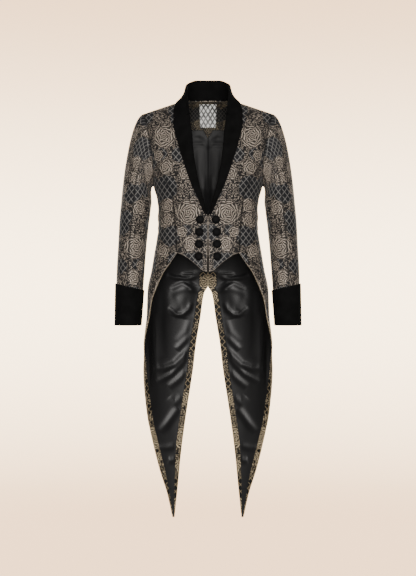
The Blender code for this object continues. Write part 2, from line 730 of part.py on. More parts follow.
# Across the lapel: how far it lifts off the front
LAPEL_LIFT = table("share lift", (0.12, 0.0046), (0.40, 0.0046), (0.70, 0.0034), (1.0, 0.0010))
LAPEL_GAP = 0.0016
FLAT_LIFT = 0.30  # share of the lift that is left where the lapel is narrowest


def surface_place(x, z, front):
    level = level_for(x, z, front)
    return angle_for(x, level, front), level


def collar_section(station):
    """The collar's folded section at a station: up the stand, over the roll and down the fall."""
    at = {name: read(COLLAR, "station", name, station) for name in COLLAR}
    neck = np.array((at["neck_x"], at["neck_y"], at["neck_z"]))
    roll = np.array((at["roll_x"], at["roll_y"], at["roll_z"]))
    if station > ON_THE_FRONT:
        neck[1] = torso(*surface_place(neck[0], neck[2], True))[1] - NECK_SEAM_GAP
    hem = off_torso(np.array((at["edge_x"], at["edge_y"], at["edge_z"])), FALL_GAP, exactly=True)
    away = neck - np.array((0, COLLAR_MIDDLE_Y, neck[2]))
    away /= np.linalg.norm(away)
    stand = roll - neck
    points = [neck] + [neck + stand * share for share in STAND_SHARES]
    points.append(roll + away * ROLL_WIDTH / 2 + np.array((0, 0, ROLL_RISE)))
    for share in FALL_SHARES[:-1]:
        flare = share**FALL_FLARE
        point = neck + (hem - neck) * (flare, flare, share) + away * ROLL_WIDTH * (1 - flare)
        point = point + stand * (FALL_START if share == 0 else 1 - share)
        points.append(off_torso(point, FALL_GAP + FALL_GAP_ROLL * (1 - share)))
    return points + [hem]


class Face:
    """The flat triangles of a panel's outer face, to set on it what lies on it."""

    def __init__(self, points):
        a, b, c, d = points[:-1, :-1], points[1:, :-1], points[1:, 1:], points[:-1, 1:]
        corners = [np.stack([a, b, c], axis=2), np.stack([a, c, d], axis=2)]
        self.corners = np.concatenate([group.reshape(-1, 3, 3) for group in corners])

    def y(self, x, z):
        """The depth of the face at a place seen from the front."""
        first, second, third = (self.corners[:, k][:, (0, 2)] for k in range(3))
        along, across, at = second - first, third - first, np.array((x, z)) - first
        area = along[:, 0] * across[:, 1] - along[:, 1] * across[:, 0]
        area = np.where(abs(area) < 1e-12, 1e-12, area)
        u = (at[:, 0] * across[:, 1] - at[:, 1] * across[:, 0]) / area
        v = (along[:, 0] * at[:, 1] - along[:, 1] * at[:, 0]) / area
        outside = np.maximum(np.maximum(-u, -v), u + v - 1)
        k = int(np.argmin(outside))
        a, b, c = self.corners[k]
        return float(a[1] + (b[1] - a[1]) * u[k] + (c[1] - a[1]) * v[k])


def off_torso(point, distance, exactly=False):
    """The point, moved out where it lies nearer than the distance to the coat's surface round the shoulder."""
    places = []
    for front in (True, False):
        for k in range(SHOULDER_STEPS):
            level = -SHOULDER_ZONE * (k / (SHOULDER_STEPS - 1)) ** 2
            if k or not front:
                places.append((angle_for(point[0], level, front), level))
    nearest = min(places, key=lambda place: np.linalg.norm(point - torso(*place)))
    normal = outward(*nearest)
    height = float(np.dot(point - torso(*nearest), normal))
    return point if height >= distance and not exactly else point + normal * (distance - height)


def lapel_section(z, front):
    """A lapel's section: round the edge of the front, then on it to the outer edge."""
    roll_x, edge_x = read(LAPEL, "z", "roll", z), read(LAPEL, "z", "edge", z)
    inner_x = read(FRONT_EDGE, "z", "x", z)
    soft = min((edge_x - roll_x) / FULL_ROLL, 1)
    inner_y = front.y(inner_x, z)
    points = []
    for _, x, x_soft, y, y_soft in zip(*LAPEL_ROLL.values()):
        points.append((inner_x + x + x_soft * soft, inner_y + y + y_soft * soft, z))
    for share, lift in zip(*LAPEL_LIFT.values()):
        x = inner_x + (edge_x - inner_x) * share
        points.append((x, front.y(x, z) - LAPEL_GAP - lift * (FLAT_LIFT + (1 - FLAT_LIFT) * soft), z))
    return points


def make_collar(grids):
    """Collar in one piece, and the lapels that go on from it at the gorge."""
    front = Face(grids["front"][0])
    gorge = COLLAR["station"][-1]
    half = np.array([collar_section(gorge * k / COLLAR_STEPS) for k in range(COLLAR_STEPS + 1)])
    flip = np.array((-1, 1, 1))
    whole = np.concatenate([half[::-1] * flip, half[1:]])
    normals = grid_normals(whole, False)
    wall("collar", whole, normals, -VELVET / 2, VELVET / 2, cloth("collar velvet", **BLACK_VELVET))
    lapel = np.array([lapel_section(z, front) for z in LAPEL_HEIGHTS])
    both_sides("lapel", lapel, grid_normals(lapel, False), -VELVET / 2, VELVET / 2, BLACK_VELVET)


BUTTONS = table(
    "row x z",
    (1, 0.0230, -0.3550),
    (2, 0.0250, -0.3916),
    (3, 0.0262, -0.4274),
    (4, 0.0265, -0.4630),
)
BUTTON_SIDES = 14
SHANK = 0.0045
BUTTON = table(
    "height radius",
    (0.0000, SHANK),
    (0.0024, SHANK),
    (0.0032, 0.0120),
    (0.0052, 0.0124),
    (0.0088, 0.0085),
)
BUTTON_TOP = 0.0100


def make_buttons(grids):
    """Two rows of four domed buttons, each on a short shank on the front."""
    front = Face(grids["front"][0])
    turns = [2 * math.pi * k / BUTTON_SIDES for k in range(BUTTON_SIDES)]
    number = 0
    for sign in (-1, 1):
        for x, z in zip(BUTTONS["x"], BUTTONS["z"]):
            number += 1
            normal = outward(*surface_place(x, z, True))
            # The foot of the shank is square to the front and touches its facets nowhere
            spots = [(x + SHANK * math.cos(t), z + SHANK * math.sin(t)) for t in turns]
            foot = min(front.y(*spot) + ((spot[0] - x) * normal[0] + (spot[1] - z) * normal[2]) / normal[1]
                       for spot in spots)
            base = np.array((x, foot, z)) + normal * SEAM
            side = np.cross(normal, (0, 0, 1))
            side /= np.linalg.norm(side)
            up = np.cross(side, normal)
            flip = np.array((sign, 1, 1))
            mesh = bmesh.new()
            rings = []
            for height, radius in zip(BUTTON["height"], BUTTON["radius"]):
                rings.append([mesh.verts.new((base + normal * height
                                              + (side * math.cos(t) + up * math.sin(t)) * radius) * flip)
                              for t in turns])
            top = mesh.verts.new((base + normal * BUTTON_TOP) * flip)
            mesh.faces.new(rings[0])
            for low, high in zip(rings, rings[1:]):
                for k in range(BUTTON_SIDES):
                    mesh.faces.new((low[k - 1], low[k], high[k], high[k - 1]))
            for k in range(BUTTON_SIDES):
                mesh.faces.new((rings[-1][k - 1], rings[-1][k], top))
            finished(f"button_{number}", mesh, cloth(f"button_{number} velvet", **BLACK_VELVET))


for thing in list(bpy.data.objects):
    bpy.data.objects.remove(thing)
panels = make_body()
make_linings(panels)
make_sleeves(panels)
make_collar(panels)
make_buttons(panels)
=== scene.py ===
"""A tailcoat, filled out with no wearer: brocade body and sleeves, velvet collar, lapels and cuffs."""

import functools
import math

import bmesh
import bpy
import numpy as np
from mathutils import Matrix


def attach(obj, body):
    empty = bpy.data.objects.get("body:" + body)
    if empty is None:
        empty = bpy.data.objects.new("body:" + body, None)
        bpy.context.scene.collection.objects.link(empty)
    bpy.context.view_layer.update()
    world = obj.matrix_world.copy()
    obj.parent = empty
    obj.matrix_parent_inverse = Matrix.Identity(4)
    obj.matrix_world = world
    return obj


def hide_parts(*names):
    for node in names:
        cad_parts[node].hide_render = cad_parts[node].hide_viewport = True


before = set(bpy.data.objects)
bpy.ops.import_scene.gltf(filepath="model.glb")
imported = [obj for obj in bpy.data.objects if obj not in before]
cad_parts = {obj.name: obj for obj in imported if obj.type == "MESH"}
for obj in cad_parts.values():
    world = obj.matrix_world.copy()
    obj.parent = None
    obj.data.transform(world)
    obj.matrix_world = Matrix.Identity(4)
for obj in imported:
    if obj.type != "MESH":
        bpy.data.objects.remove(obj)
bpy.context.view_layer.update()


# Camera: level with the middle of the coat and 4 m in front of it, with a long lens, so that it is seen
# nearly without perspective. The picture is 416 by 576 pixels, 3 mm each at the coat.
CAMERA_DISTANCE = 4.0
CAMERA_HEIGHT = -0.555
PICTURE_ROWS = 576
PIXEL = 0.003
SENSOR = 36.0
lens = bpy.data.cameras.new("camera")
lens.sensor_fit = "VERTICAL"
lens.sensor_height = SENSOR
lens.lens = SENSOR * CAMERA_DISTANCE / (PICTURE_ROWS * PIXEL)
camera = bpy.data.objects.new("camera", lens)
camera.location = (0, -CAMERA_DISTANCE, CAMERA_HEIGHT)
camera.rotation_euler = (math.radians(90), 0, 0)
bpy.context.scene.collection.objects.link(camera)
bpy.context.scene.camera = camera


# Studio: a pale seamless cove all round the coat, its floor where a wearer would stand, and large soft
# lights before and behind. The paper glows a little, as if lit by lamps of its own, brightest level with
# the coat.
FLOOR_Z = -1.80
COVE_RADIUS = 7.0
COVE_TOP = 6.0
SWEEP = 2.2
DIM_FROM = 0.36  # how steeply above or below the coat's middle the paper is dimmest
PAPER, PAPER_BRIGHT, PAPER_DIM = "#cdbfb2", "#ffe3ba", "#b4916d"
PAPER_GLOW = 6.6
LAMP_COLOUR = 1.0, 0.97, 0.94
AIR, AIR_STRENGTH = "#f3ece6", 0.20


def to_linear(colour):
    """An sRGB hex colour as linear red, green, blue and alpha."""
    parts = [int(colour[k:k + 2], 16) / 255 for k in (1, 3, 5)]
    return (*[part / 12.92 if part <= 0.04045 else ((part + 0.055) / 1.055) ** 2.4 for part in parts], 1)


def add_node(material, kind, links=(), **settings):
    """Adds a node: links gives its inputs a value or another node's socket, settings are its properties."""
    node = material.node_tree.nodes.new(kind)
    for name, value in settings.items():
        setattr(node, name, value)
    for name, value in dict(links).items():
        socket = node.inputs[name]
        if isinstance(value, bpy.types.NodeSocket):
            material.node_tree.links.new(value, socket)
        else:
            socket.default_value = value
    return node


def new_material(name):
    """A material with no nodes yet, and the call that adds nodes to it."""
    material = bpy.data.materials.new(name)
    material.use_nodes = True
    material.node_tree.nodes.clear()
    return material, functools.partial(add_node, material)


def spun(profile, steps):
    """A bmesh of a profile of radii and heights, spun a full turn round the upright axis."""
    mesh = bmesh.new()
    corners = [mesh.verts.new((radius, 0, height)) for radius, height in profile]
    edges = [mesh.edges.new(pair) for pair in zip(corners, corners[1:])]
    bmesh.ops.spin(mesh, geom=corners + edges, cent=(0, 0, 0), axis=(0, 0, 1), angle=2 * math.pi,
                   steps=steps, use_merge=True)
    bmesh.ops.remove_doubles(mesh, verts=mesh.verts[:], dist=1e-6)
    return mesh


def smooth_object(name, mesh, material):
    """The object of a finished bmesh, smooth and with its material."""
    data = bpy.data.meshes.new(name)
    mesh.to_mesh(data)
    mesh.free()
    data.materials.append(material)
    data.shade_smooth()
    thing = bpy.data.objects.new(name, data)
    bpy.context.scene.collection.objects.link(thing)
    return thing


# Matt paper: no gloss, a warm white
stage_paper, add = new_material("studio_paper")
place = add("ShaderNodeTexCoord").outputs["Object"]
place = add("ShaderNodeVectorMath", {0: place, 1: (0, 0, -CAMERA_HEIGHT)}, operation="ADD").outputs[0]
place = add("ShaderNodeVectorMath", {0: place}, operation="NORMALIZE").outputs[0]
height = add("ShaderNodeSeparateXYZ", {0: place}).outputs["Z"]
height = add("ShaderNodeMath", {0: height}, operation="ABSOLUTE").outputs[0]
dimness = add("ShaderNodeMapRange", {"Value": height, "From Max": DIM_FROM},
              interpolation_type="SMOOTHSTEP").outputs[0]
glow = add("ShaderNodeMix", {"Factor": dimness, 6: to_linear(PAPER_BRIGHT), 7: to_linear(PAPER_DIM)},
           data_type="RGBA").outputs[2]
shader = add("ShaderNodeBsdfPrincipled",
             {"Base Color": to_linear(PAPER), "Roughness": 1.0, "Specular IOR Level": 0.0,
              "Emission Color": glow, "Emission Strength": PAPER_GLOW})
add("ShaderNodeOutputMaterial", {"Surface": shader.outputs[0]})

wall_foot = COVE_RADIUS - SWEEP
profile = [(0, FLOOR_Z), (wall_foot, FLOOR_Z)]
profile += [(wall_foot + SWEEP * math.sin(turn), FLOOR_Z + SWEEP - SWEEP * math.cos(turn))
            for turn in np.linspace(0, math.pi / 2, 17)[1:]]
profile.append((COVE_RADIUS, COVE_TOP))
mesh = spun(profile, steps=96)
bmesh.ops.recalc_face_normals(mesh, faces=mesh.faces[:])
cove = smooth_object("cove", mesh, stage_paper)
cove.visible_diffuse = False
cove.visible_glossy = False
cove.visible_shadow = False

LIGHTS = (  # name, place, what it faces, width, power
    ("front", (0.2, -4.4, -0.1), (0.0, 0.0, -0.5), 1.3, 118.0),
    ("key", (-1.5, -3.8, 0.6), (0.0, 0.0, -0.5), 1.2, 24.0),
    ("fill", (1.5, -3.8, 0.2), (0.0, 0.0, -0.6), 1.5, 20.0),
    ("left_back", (-2.0, 3.6, 0.0), (0.0, 0.0, -0.5), 1.4, 34.0),
    ("right_back", (2.0, 3.6, 0.0), (0.0, 0.0, -0.5), 1.4, 34.0),
)
for name, place, aim, width, power in LIGHTS:
    lamp = bpy.data.lights.new(name, "AREA")
    lamp.size = width
    lamp.energy = power
    lamp.color = LAMP_COLOUR
    thing = bpy.data.objects.new(name, lamp)
    away = np.array(place) - np.array(aim)
    thing.location = place
    thing.rotation_euler = (
        math.acos(away[2] / np.linalg.norm(away)), 0, math.atan2(away[1], away[0]) + math.pi / 2)
    thing.visible_camera = False
    bpy.context.scene.collection.objects.link(thing)
world = bpy.data.worlds.new("studio_air")
world.use_nodes = True
world.node_tree.nodes["Background"].inputs["Color"].default_value = to_linear(AIR)
world.node_tree.nodes["Background"].inputs["Strength"].default_value = AIR_STRENGTH
bpy.context.scene.world = world


# Fronts: two panels of jacquard brocade, cut with a curved front edge that carries the lapel, and joined to
# the side bodies at a princess seam. Their hem comes to a point at the centre.
SEAM = 0.0003  # the gap between two pieces that are sewn together
CLOTH = 0.0020
ROUNDNESS = 2.4  # of the level sections: 2 gives an ellipse and more a squarer shape
CHEST = -0.250  # above this level the sections lean over to the shoulder seams
NECK_HALF = 0.0690
SHOULDER_TIP = 0.1916
NECK_Z = 0.0093
SHOULDER_SLOPE = 0.345
RIDGE_Y = 0.010
NAPE_Y = 0.075
NAPE_Z = 0.0165
FRONT_CURVE, BACK_CURVE = 2.0, 2.6  # how full chest and back stay on their way up to the shoulder seam
WAIST = -0.4518
FRONT_TIP_X = 0.0030
ARMHOLE_MIDDLE = -0.150
PRINCESS_TOP = -0.165
HEM_START = -0.400
ROW = 0.004  # between two rows of a cloth's mesh
HEM_ROWS = 24
COLUMNS = 37  # in the mesh of a front or a back
SHOULDER_LEVELS = CHEST * (1 - np.cos(np.linspace(0, np.pi / 2, 66)))  # rows close together at the seam
TURNED_EDGE = 0.0006
SHARP = math.radians(60)  # a corner of cloth that turns over by more than this is rounded
STEPS_ALONG = 33  # for lengths measured along the curved cloth


def table(columns, *rows):
    """Numbers with named columns, in rising order of the first one."""
    values = np.array(sorted(rows), float)
    return dict(zip(columns.split(), values.T))


def read(rows, key, column, at):
    """One column of a table at values of its key column, along a smooth curve with no overshoot."""
    keys, values = rows[key], rows[column]
    slopes = np.diff(values) / np.diff(keys)
    before, after = slopes[:-1], slopes[1:]
    same = before * after > 0
    inner = np.where(same, 2 * before * after / np.where(same, before + after, 1), 0)
    tangents = np.concatenate([slopes[:1], inner, slopes[-1:]])
    at = np.clip(at, keys[0], keys[-1])
    i = np.clip(np.searchsorted(keys, at, "right") - 1, 0, len(keys) - 2)
    span = keys[i + 1] - keys[i]
    t = (at - keys[i]) / span
    bend = span * (tangents[i] * t * (1 - t) ** 2 - tangents[i + 1] * t * t * (1 - t))
    return values[i] + (values[i + 1] - values[i]) * t * t * (3 - 2 * t) + bend


# Level sections of the coat: half their width, and their depth before and behind the side
RINGS = table(
    "level half_width front back",
    (0.000, 0.2018, 0.118, 0.112),
    (-0.050, 0.1907, 0.118, 0.112),
    (-0.100, 0.1811, 0.120, 0.112),
    (-0.150, 0.1753, 0.122, 0.112),
    (-0.200, 0.1680, 0.124, 0.110),
    (-0.250, 0.1630, 0.125, 0.106),
    (-0.287, 0.1530, 0.123, 0.098),
    (-0.323, 0.1490, 0.117, 0.090),
    (-0.363, 0.1500, 0.112, 0.085),
    (-0.403, 0.1530, 0.113, 0.088),
    (-0.452, 0.1610, 0.118, 0.097),
    (-0.500, 0.1690, 0.124, 0.107),
    (-0.561, 0.1810, 0.127, 0.115),
    (-0.633, 0.1840, 0.128, 0.118),
    (-0.683, 0.1896, 0.128, 0.119),
    (-0.757, 0.1975, 0.128, 0.120),
    (-0.810, 0.2030, 0.128, 0.120),
    (-0.900, 0.2070, 0.128, 0.121),
    (-1.030, 0.2150, 0.128, 0.122),
    (-1.270, 0.2300, 0.128, 0.125),
)
# The armhole's edges, in degrees before and behind the side
ARMHOLE = table(
    "level front back",
    (0.000, 20.0, 20.0),
    (-0.050, 19.5, 21.0),
    (-0.100, 19.5, 23.0),
    (-0.150, 20.0, 24.0),
)
# The front's edges, by height and distance from the centre
FRONT_EDGE = table(
    "z x",
    (0.0093, 0.0690),
    (-0.010, 0.0655),
    (-0.025, 0.0615),
    (-0.040, 0.0582),
    (-0.064, 0.0555),
    (-0.104, 0.0505),
    (-0.148, 0.0470),
    (-0.184, 0.0424),
    (-0.2135, 0.0372),
    (-0.255, 0.0284),
    (-0.296, 0.0167),
    (-0.330, 0.0082),
    (-0.352, 0.0011),
    (-0.440, 0.0012),
    (-0.509, FRONT_TIP_X),
)
PRINCESS = table(
    "z x",
    (-0.190, 0.1560),
    (-0.230, 0.1300),
    (-0.270, 0.1090),
    (-0.330, 0.0990),
    (-0.400, 0.0940),
    (-0.452, 0.0910),
)
HEM = table(
    "x z",
    (0.0000, -0.5085),
    (0.0163, -0.5032),
    (0.0285, -0.4925),
    (0.0465, -0.4770),
    (0.0757, -0.4575),
    (0.0910, -0.4518),
)


def shoulder(x, front):
    """Depth and height of the shoulder seam, or of the neckline inside it, at distances from the centre."""
    across = np.where(front, 0, np.sqrt(np.clip(1 - (x / NECK_HALF) ** 2, 0, 1)))
    outside = x >= NECK_HALF
    depth = np.where(outside, RIDGE_Y * (SHOULDER_TIP - x) / (SHOULDER_TIP - NECK_HALF),
                     RIDGE_Y + (NAPE_Y - RIDGE_Y) * across)
    height = np.where(outside, NECK_Z - SHOULDER_SLOPE * (x - NECK_HALF),
                      NECK_Z + (NAPE_Z - NECK_Z) * across)
    return depth, height


def torso(angle, level):
    """Points of the coat's outer face, from 0 degrees at the centre front to 180 at the centre back."""
    angle, level = np.broadcast_arrays(np.asarray(angle, float), np.asarray(level, float))
    front = angle < 90
    low = np.minimum(level, CHEST)
    x = read(RINGS, "level", "half_width", level) * abs(np.sin(np.radians(angle))) ** (2 / ROUNDNESS)
    depth = np.where(front, -read(RINGS, "level", "front", low), read(RINGS, "level", "back", low))
    y = depth * abs(np.cos(np.radians(angle))) ** (2 / ROUNDNESS)
    rise = np.clip(1 - level / CHEST, 0, 1)
    curve = np.where(front, FRONT_CURVE, BACK_CURVE)
    ridge_y, ridge_z = shoulder(x, front)
    lean = (1 - rise**curve) ** (1 / curve)
    above = level > CHEST
    return np.stack([x, np.where(above, ridge_y + (y - ridge_y) * lean, y),
                     np.where(above, CHEST + (ridge_z - CHEST) * rise, level)], axis=-1)


def outward(angle, level):
    """The outer face's unit normals, square to the centre plane at the centre front and back."""
    angle, level = np.broadcast_arrays(np.asarray(angle, float), np.asarray(level, float))
    step = np.where(angle <= 179.9, 0.02, -0.02)
    height = np.where(level < -1e-3, 2e-5, -2e-5)
    along = (torso(angle + step, level) - torso(angle, level)) / step[..., None]
    up = (torso(angle, level + height) - torso(angle, level)) / height[..., None]
    normal = np.cross(along, up)
    normal[..., 0] = np.where((angle > 179.999) | (angle < 0.001), 0, normal[..., 0])
    return normal / np.linalg.norm(normal, axis=-1, keepdims=True)


def angle_for(x, level, front):
    """The angle at which a level section's front or back half lies at a distance from the centre."""
    half_width = read(RINGS, "level", "half_width", level)
    turn = np.degrees(np.arcsin(np.minimum(x / half_width, 1) ** (ROUNDNESS / 2)))
    return turn if front else 180 - turn


def level_for(x, z, front):
    """The level of the surface point that lies at height z."""
    return np.where(z <= CHEST, z, CHEST * (1 - (z - CHEST) / (shoulder(x, front)[1] - CHEST)))


def edge_angle(edge, level, front):
    """Where an edge, given by its height and its distance from the centre, crosses levels."""
    z = level
    for _ in range(5):
        x = read(edge, "z", "x", z)
        z = np.where(level <= CHEST, level, CHEST + (shoulder(x, front)[1] - CHEST) * (1 - level / CHEST))
    return angle_for(x, level, front)


def armhole_angle(level, front):
    """The armhole's front or back edge: straight above its middle, half an ellipse below it."""
    spread = read(ARMHOLE, "level", "front" if front else "back", np.maximum(level, ARMHOLE_MIDDLE))
    drop = np.clip((ARMHOLE_MIDDLE - level) / (ARMHOLE_MIDDLE - CHEST), 0, 1)
    spread = spread * np.sqrt(1 - drop**2)
    return 90 - spread if front else 90 + spread


PRINCESS_ANGLES = table("level angle", (PRINCESS_TOP, armhole_angle(PRINCESS_TOP, True)),
                        *zip(PRINCESS["z"], edge_angle(PRINCESS, PRINCESS["z"], True)))


def princess(level):
    """The seam between front and side body, which ends at the corner where the cutaway starts."""
    return read(PRINCESS_ANGLES, "level", "angle", level)


def front_places():
    """Angles and levels of a front's rows, the last ones curved along its hem."""
    shares = np.linspace(0, 1, COLUMNS)
    levels = np.concatenate([SHOULDER_LEVELS, np.arange(CHEST - ROW, HEM_START + ROW / 2, -ROW),
                             [HEM_START]])
    inner = edge_angle(FRONT_EDGE, levels, True)
    outer = np.where(levels >= PRINCESS_TOP, armhole_angle(levels, True), princess(levels))
    angles = [inner[:, None] + (outer - inner)[:, None] * shares]
    rows = [np.repeat(levels[:, None], len(shares), axis=1)]
    x = np.maximum(read(PRINCESS, "z", "x", WAIST) * shares, FRONT_TIP_X)
    for part in np.linspace(0, 1, HEM_ROWS + 1)[1:]:
        level = HEM_START + (read(HEM, "x", "z", x) - HEM_START) * part
        inner = edge_angle(FRONT_EDGE, level, True)
        flat = inner + (princess(HEM_START + (WAIST - HEM_START) * part) - inner) * shares
        angles.append((flat + (angle_for(x, level, True) - flat) * part)[None])
        rows.append(level[None])
    return np.concatenate(angles), np.concatenate(rows)


def cloth_place(angle, level, from_angle):
    """Places on the cloth: across from the centre front or back, and the height along the grain."""
    angle = np.minimum(angle, 180)
    steps = np.linspace(0, 1, STEPS_ALONG)[:, None, None]
    run = torso(from_angle + (angle - from_angle) * steps, level)
    arc = np.linalg.norm(np.diff(run, axis=0), axis=-1).sum(axis=0)
    across = abs(np.diff(run[..., 0], axis=0)).sum(axis=0)
    climb = torso(angle, CHEST + (np.maximum(level, CHEST) - CHEST) * steps)
    climbed = np.linalg.norm(np.diff(climb, axis=0), axis=-1).sum(axis=0)
    rise = climb[-1, ..., 2] - CHEST
    u = arc + PATTERN_FLATNESS * (across - arc)
    v = np.minimum(level, CHEST) + climbed + PATTERN_FLATNESS * (rise - climbed)
    return np.stack([u * np.sign(angle - from_angle), v], axis=-1)


def relief(folds, across, height):
    """How far soft folds stand up: each tapers from its middle to both ends of a line through its points."""
    raised = np.zeros(across.shape)
    for rise, width, *route in folds:
        route = np.array(route)
        gone = np.concatenate([[0], np.cumsum(np.linalg.norm(np.diff(route, axis=0), axis=1))])
        nearest, along = np.full(across.shape, np.inf), np.zeros(across.shape)
        for k, (start, step) in enumerate(zip(route, np.diff(route, axis=0))):
            reach = (across - start[0]) * step[0] + (height - start[1]) * step[1]
            share = np.clip(reach / (step @ step), 0, 1)
            away = np.hypot(across - start[0] - share * step[0], height - start[1] - share * step[1])
            closer = away < nearest
            nearest = np.where(closer, away, nearest)
            along = np.where(closer, (gone[k] + share * (gone[k + 1] - gone[k])) / gone[-1], along)
        raised += rise * np.exp(-((nearest / width) ** 2)) * (4 * along * (1 - along)) ** 0.4
    return raised


def edge_distance(points, edges):
    """Distances on the cloth to the nearest of some of its edges."""
    distance = np.full(points.shape[:2], 1.0)
    for axis, sides in ((0, ("top", "bottom")), (1, ("start", "end"))):
        steps = np.linalg.norm(np.diff(points, axis=axis), axis=2)
        gone = np.insert(np.cumsum(steps, axis=axis), 0, 0, axis=axis)
        if sides[0] in edges:
            distance = np.minimum(distance, gone)
        if sides[1] in edges:
            distance = np.minimum(distance, np.take(gone, [-1], axis=axis) - gone)
    return distance


cuts = {}  # the size that each piece was cut to, by the name of the piece


def cloth_object(name, points, facing, uv, wall, materials, ring=False, offset=-1.0, **edges):
    """A grid of cloth with its wall, its faces turned the way of the facing vectors."""
    rows, columns = points.shape[:2]
    if ring:
        points = np.concatenate([points, points[:, :1]], axis=1)
        facing = np.concatenate([facing, facing[:, :1]], axis=1)
        columns += 1
    mesh = bmesh.new()
    bmesh.ops.create_grid(mesh, x_segments=columns - 1, y_segments=rows - 1, size=0.5)
    data = bpy.data.meshes.new(name)
    mesh.to_mesh(data)
    mesh.free()
    data.vertices.foreach_set("co", points.reshape(-1))
    data.update()
    if uv is not None:
        corners = np.zeros(len(data.loops), np.int32)
        data.loops.foreach_get("vertex_index", corners)
        layer = data.uv_layers.new(name="cloth")
        layer.data.foreach_set("uv", uv.reshape(-1, 2)[corners].astype(np.float32).reshape(-1))
        for kind in ("border", "seam"):
            values = edges.get(kind, np.ones((rows, columns))).astype(np.float32)
            data.attributes.new(kind, "FLOAT", "POINT").data.foreach_set("value", values.ravel())
    normals = np.zeros(len(data.vertices) * 3, np.float32)
    data.vertices.foreach_get("normal", normals)
    if np.sum(normals.reshape(-1, 3) * facing.reshape(-1, 3)) < 0:
        data.flip_normals()
    if ring:
        mesh = bmesh.new()
        mesh.from_mesh(data)
        bmesh.ops.remove_doubles(mesh, verts=mesh.verts[:], dist=1e-6)
        mesh.to_mesh(data)
        mesh.free()
    data.shade_smooth()
    for material in materials:
        data.materials.append(material)
    width = np.linalg.norm(np.diff(points, axis=1), axis=2).sum(axis=1).max()
    length = np.linalg.norm(np.diff(points, axis=0), axis=2).sum(axis=0).max()
    cuts[name] = width, length, sum(face.area for face in data.polygons)
    thing = bpy.data.objects.new(name, data)
    bpy.context.scene.collection.objects.link(thing)
    solid = thing.modifiers.new("wall", "SOLIDIFY")
    solid.thickness = wall
    solid.offset = offset
    solid.material_offset = len(materials) - 1
    solid.material_offset_rim = 0
    rounding = thing.modifiers.new("turned_edge", "BEVEL")
    rounding.width = TURNED_EDGE
    rounding.segments = 2
    rounding.limit_method = "ANGLE"
    rounding.angle_limit = SHARP
    return thing


def mirrored(thing, name):
    """The same piece for the coat's other half."""
    data = thing.data.copy()
    data.name = name
    data.transform(Matrix.Scale(-1, 4, (1, 0, 0)))
    data.flip_normals()
    other = thing.copy()
    other.name = name
    other.data = data
    cuts[name] = cuts[thing.name]
    bpy.context.scene.collection.objects.link(other)
    return other


def dress(thing, node):
    """Puts a finished piece on the coat in its solid's place."""
    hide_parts(node)
    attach(thing, "root")


def both_sides(name, points, facing, uv, wall, materials, slot, **how):
    """Makes the left piece and its mirror image."""
    left = cloth_object(f"{name}_cloth_L", points, facing, uv, wall, materials, **how)
    right = mirrored(left, f"{name}_cloth_R")
    dress(left, f"{name}_L")
    dress(right, f"{name}_R")
    return left, right


TILE = 0.1500, 0.2265  # the woven repeat, which steps half its width from row to row
PATTERN_FLATNESS = 0.45  # how far the cloth was eased so that its figures look round from front or back
ROSES = (  # place across and down the repeat, and radius
    (0.132, 0.108, 0.035),
    (0.050, 0.085, 0.021),
    (0.050, 0.130, 0.020),
    (0.064, 0.218, 0.021),
    (0.126, 0.200, 0.021),
    (0.002, 0.165, 0.017),
)
TRELLISES = (  # place across and down the repeat, and radius
    (0.051, 0.0345, 0.036),
    (0.040, 0.1755, 0.031),
    (0.088, 0.0500, 0.025),
    (0.100, 0.0200, 0.021),
    (0.086, 0.1650, 0.022),
    (0.140, 0.1600, 0.017),
)
FAR = 9.0  # farther than any motif
WAVER = 0.008  # how far the figures' lines waver
PETAL_RING = 0.0062  # between two petal edges of a rose
RAGGEDNESS = 0.9  # how far a rose's outline strays from round, as a share of its radius
SCALLOPS = 2.5  # half the number of petals in each ring
SCALLOP_DEPTH = 0.55
TWIST = 0.8  # how far the scallops move on from ring to ring, in radians of their wave
STEM_SIZE = 0.0095  # across one curl of the stems
STEMS_IN_SIZE = 4.4  # how closely the stems run within a curl
TRELLIS_ACROSS, TRELLIS_DOWN = 0.0190, 0.0215
LUSTRE_SIZE = 0.0556  # across a patch where the brocade looks a little brighter or duller
EDGE_HIGHLIGHT, EDGE_HIGHLIGHT_SHARE = 0.0016, 0.38  # how wide the pale line of painted highlight along a turned edge is, and how much it shows
SEAM_SHADE, SEAM_DARKEST = 0.0044, 0.12  # how far a seam's painted shade reaches, and the light left at the seam
THREAD = 0.0014  # two or three times a real thread, so that it shows


def nearest_motif(add, place, motifs):
    """The offset from the nearest motif's middle, and its length as a share of the motif's radius."""
    offset, share = (FAR, FAR, 0.0), FAR
    for across, down, radius in motifs:
        for shift in (0, 1):
            middle = np.array((across + shift * TILE[0] / 2, -down - shift * TILE[1], 0))
            half = np.array((TILE[0] / 2, TILE[1], 1))
            high, low = tuple(middle + half), tuple(middle - half)
            away = add("ShaderNodeVectorMath", {0: place, 1: high, 2: low}, operation="WRAP").outputs[0]
            away = add("ShaderNodeVectorMath", {0: away, 1: tuple(middle)}, operation="SUBTRACT").outputs[0]
            length = add("ShaderNodeVectorMath", {0: away}, operation="LENGTH").outputs["Value"]
            part = add("ShaderNodeMath", {0: length, 1: radius}, operation="DIVIDE").outputs[0]
            closer = add("ShaderNodeMath", {0: part, 1: share}, operation="LESS_THAN").outputs[0]
            offset = add("ShaderNodeMix", {"Factor": closer, 4: offset, 5: away},
                         data_type="VECTOR").outputs[1]
            share = add("ShaderNodeMath", {0: part, 1: share}, operation="MINIMUM").outputs[0]
    return offset, share


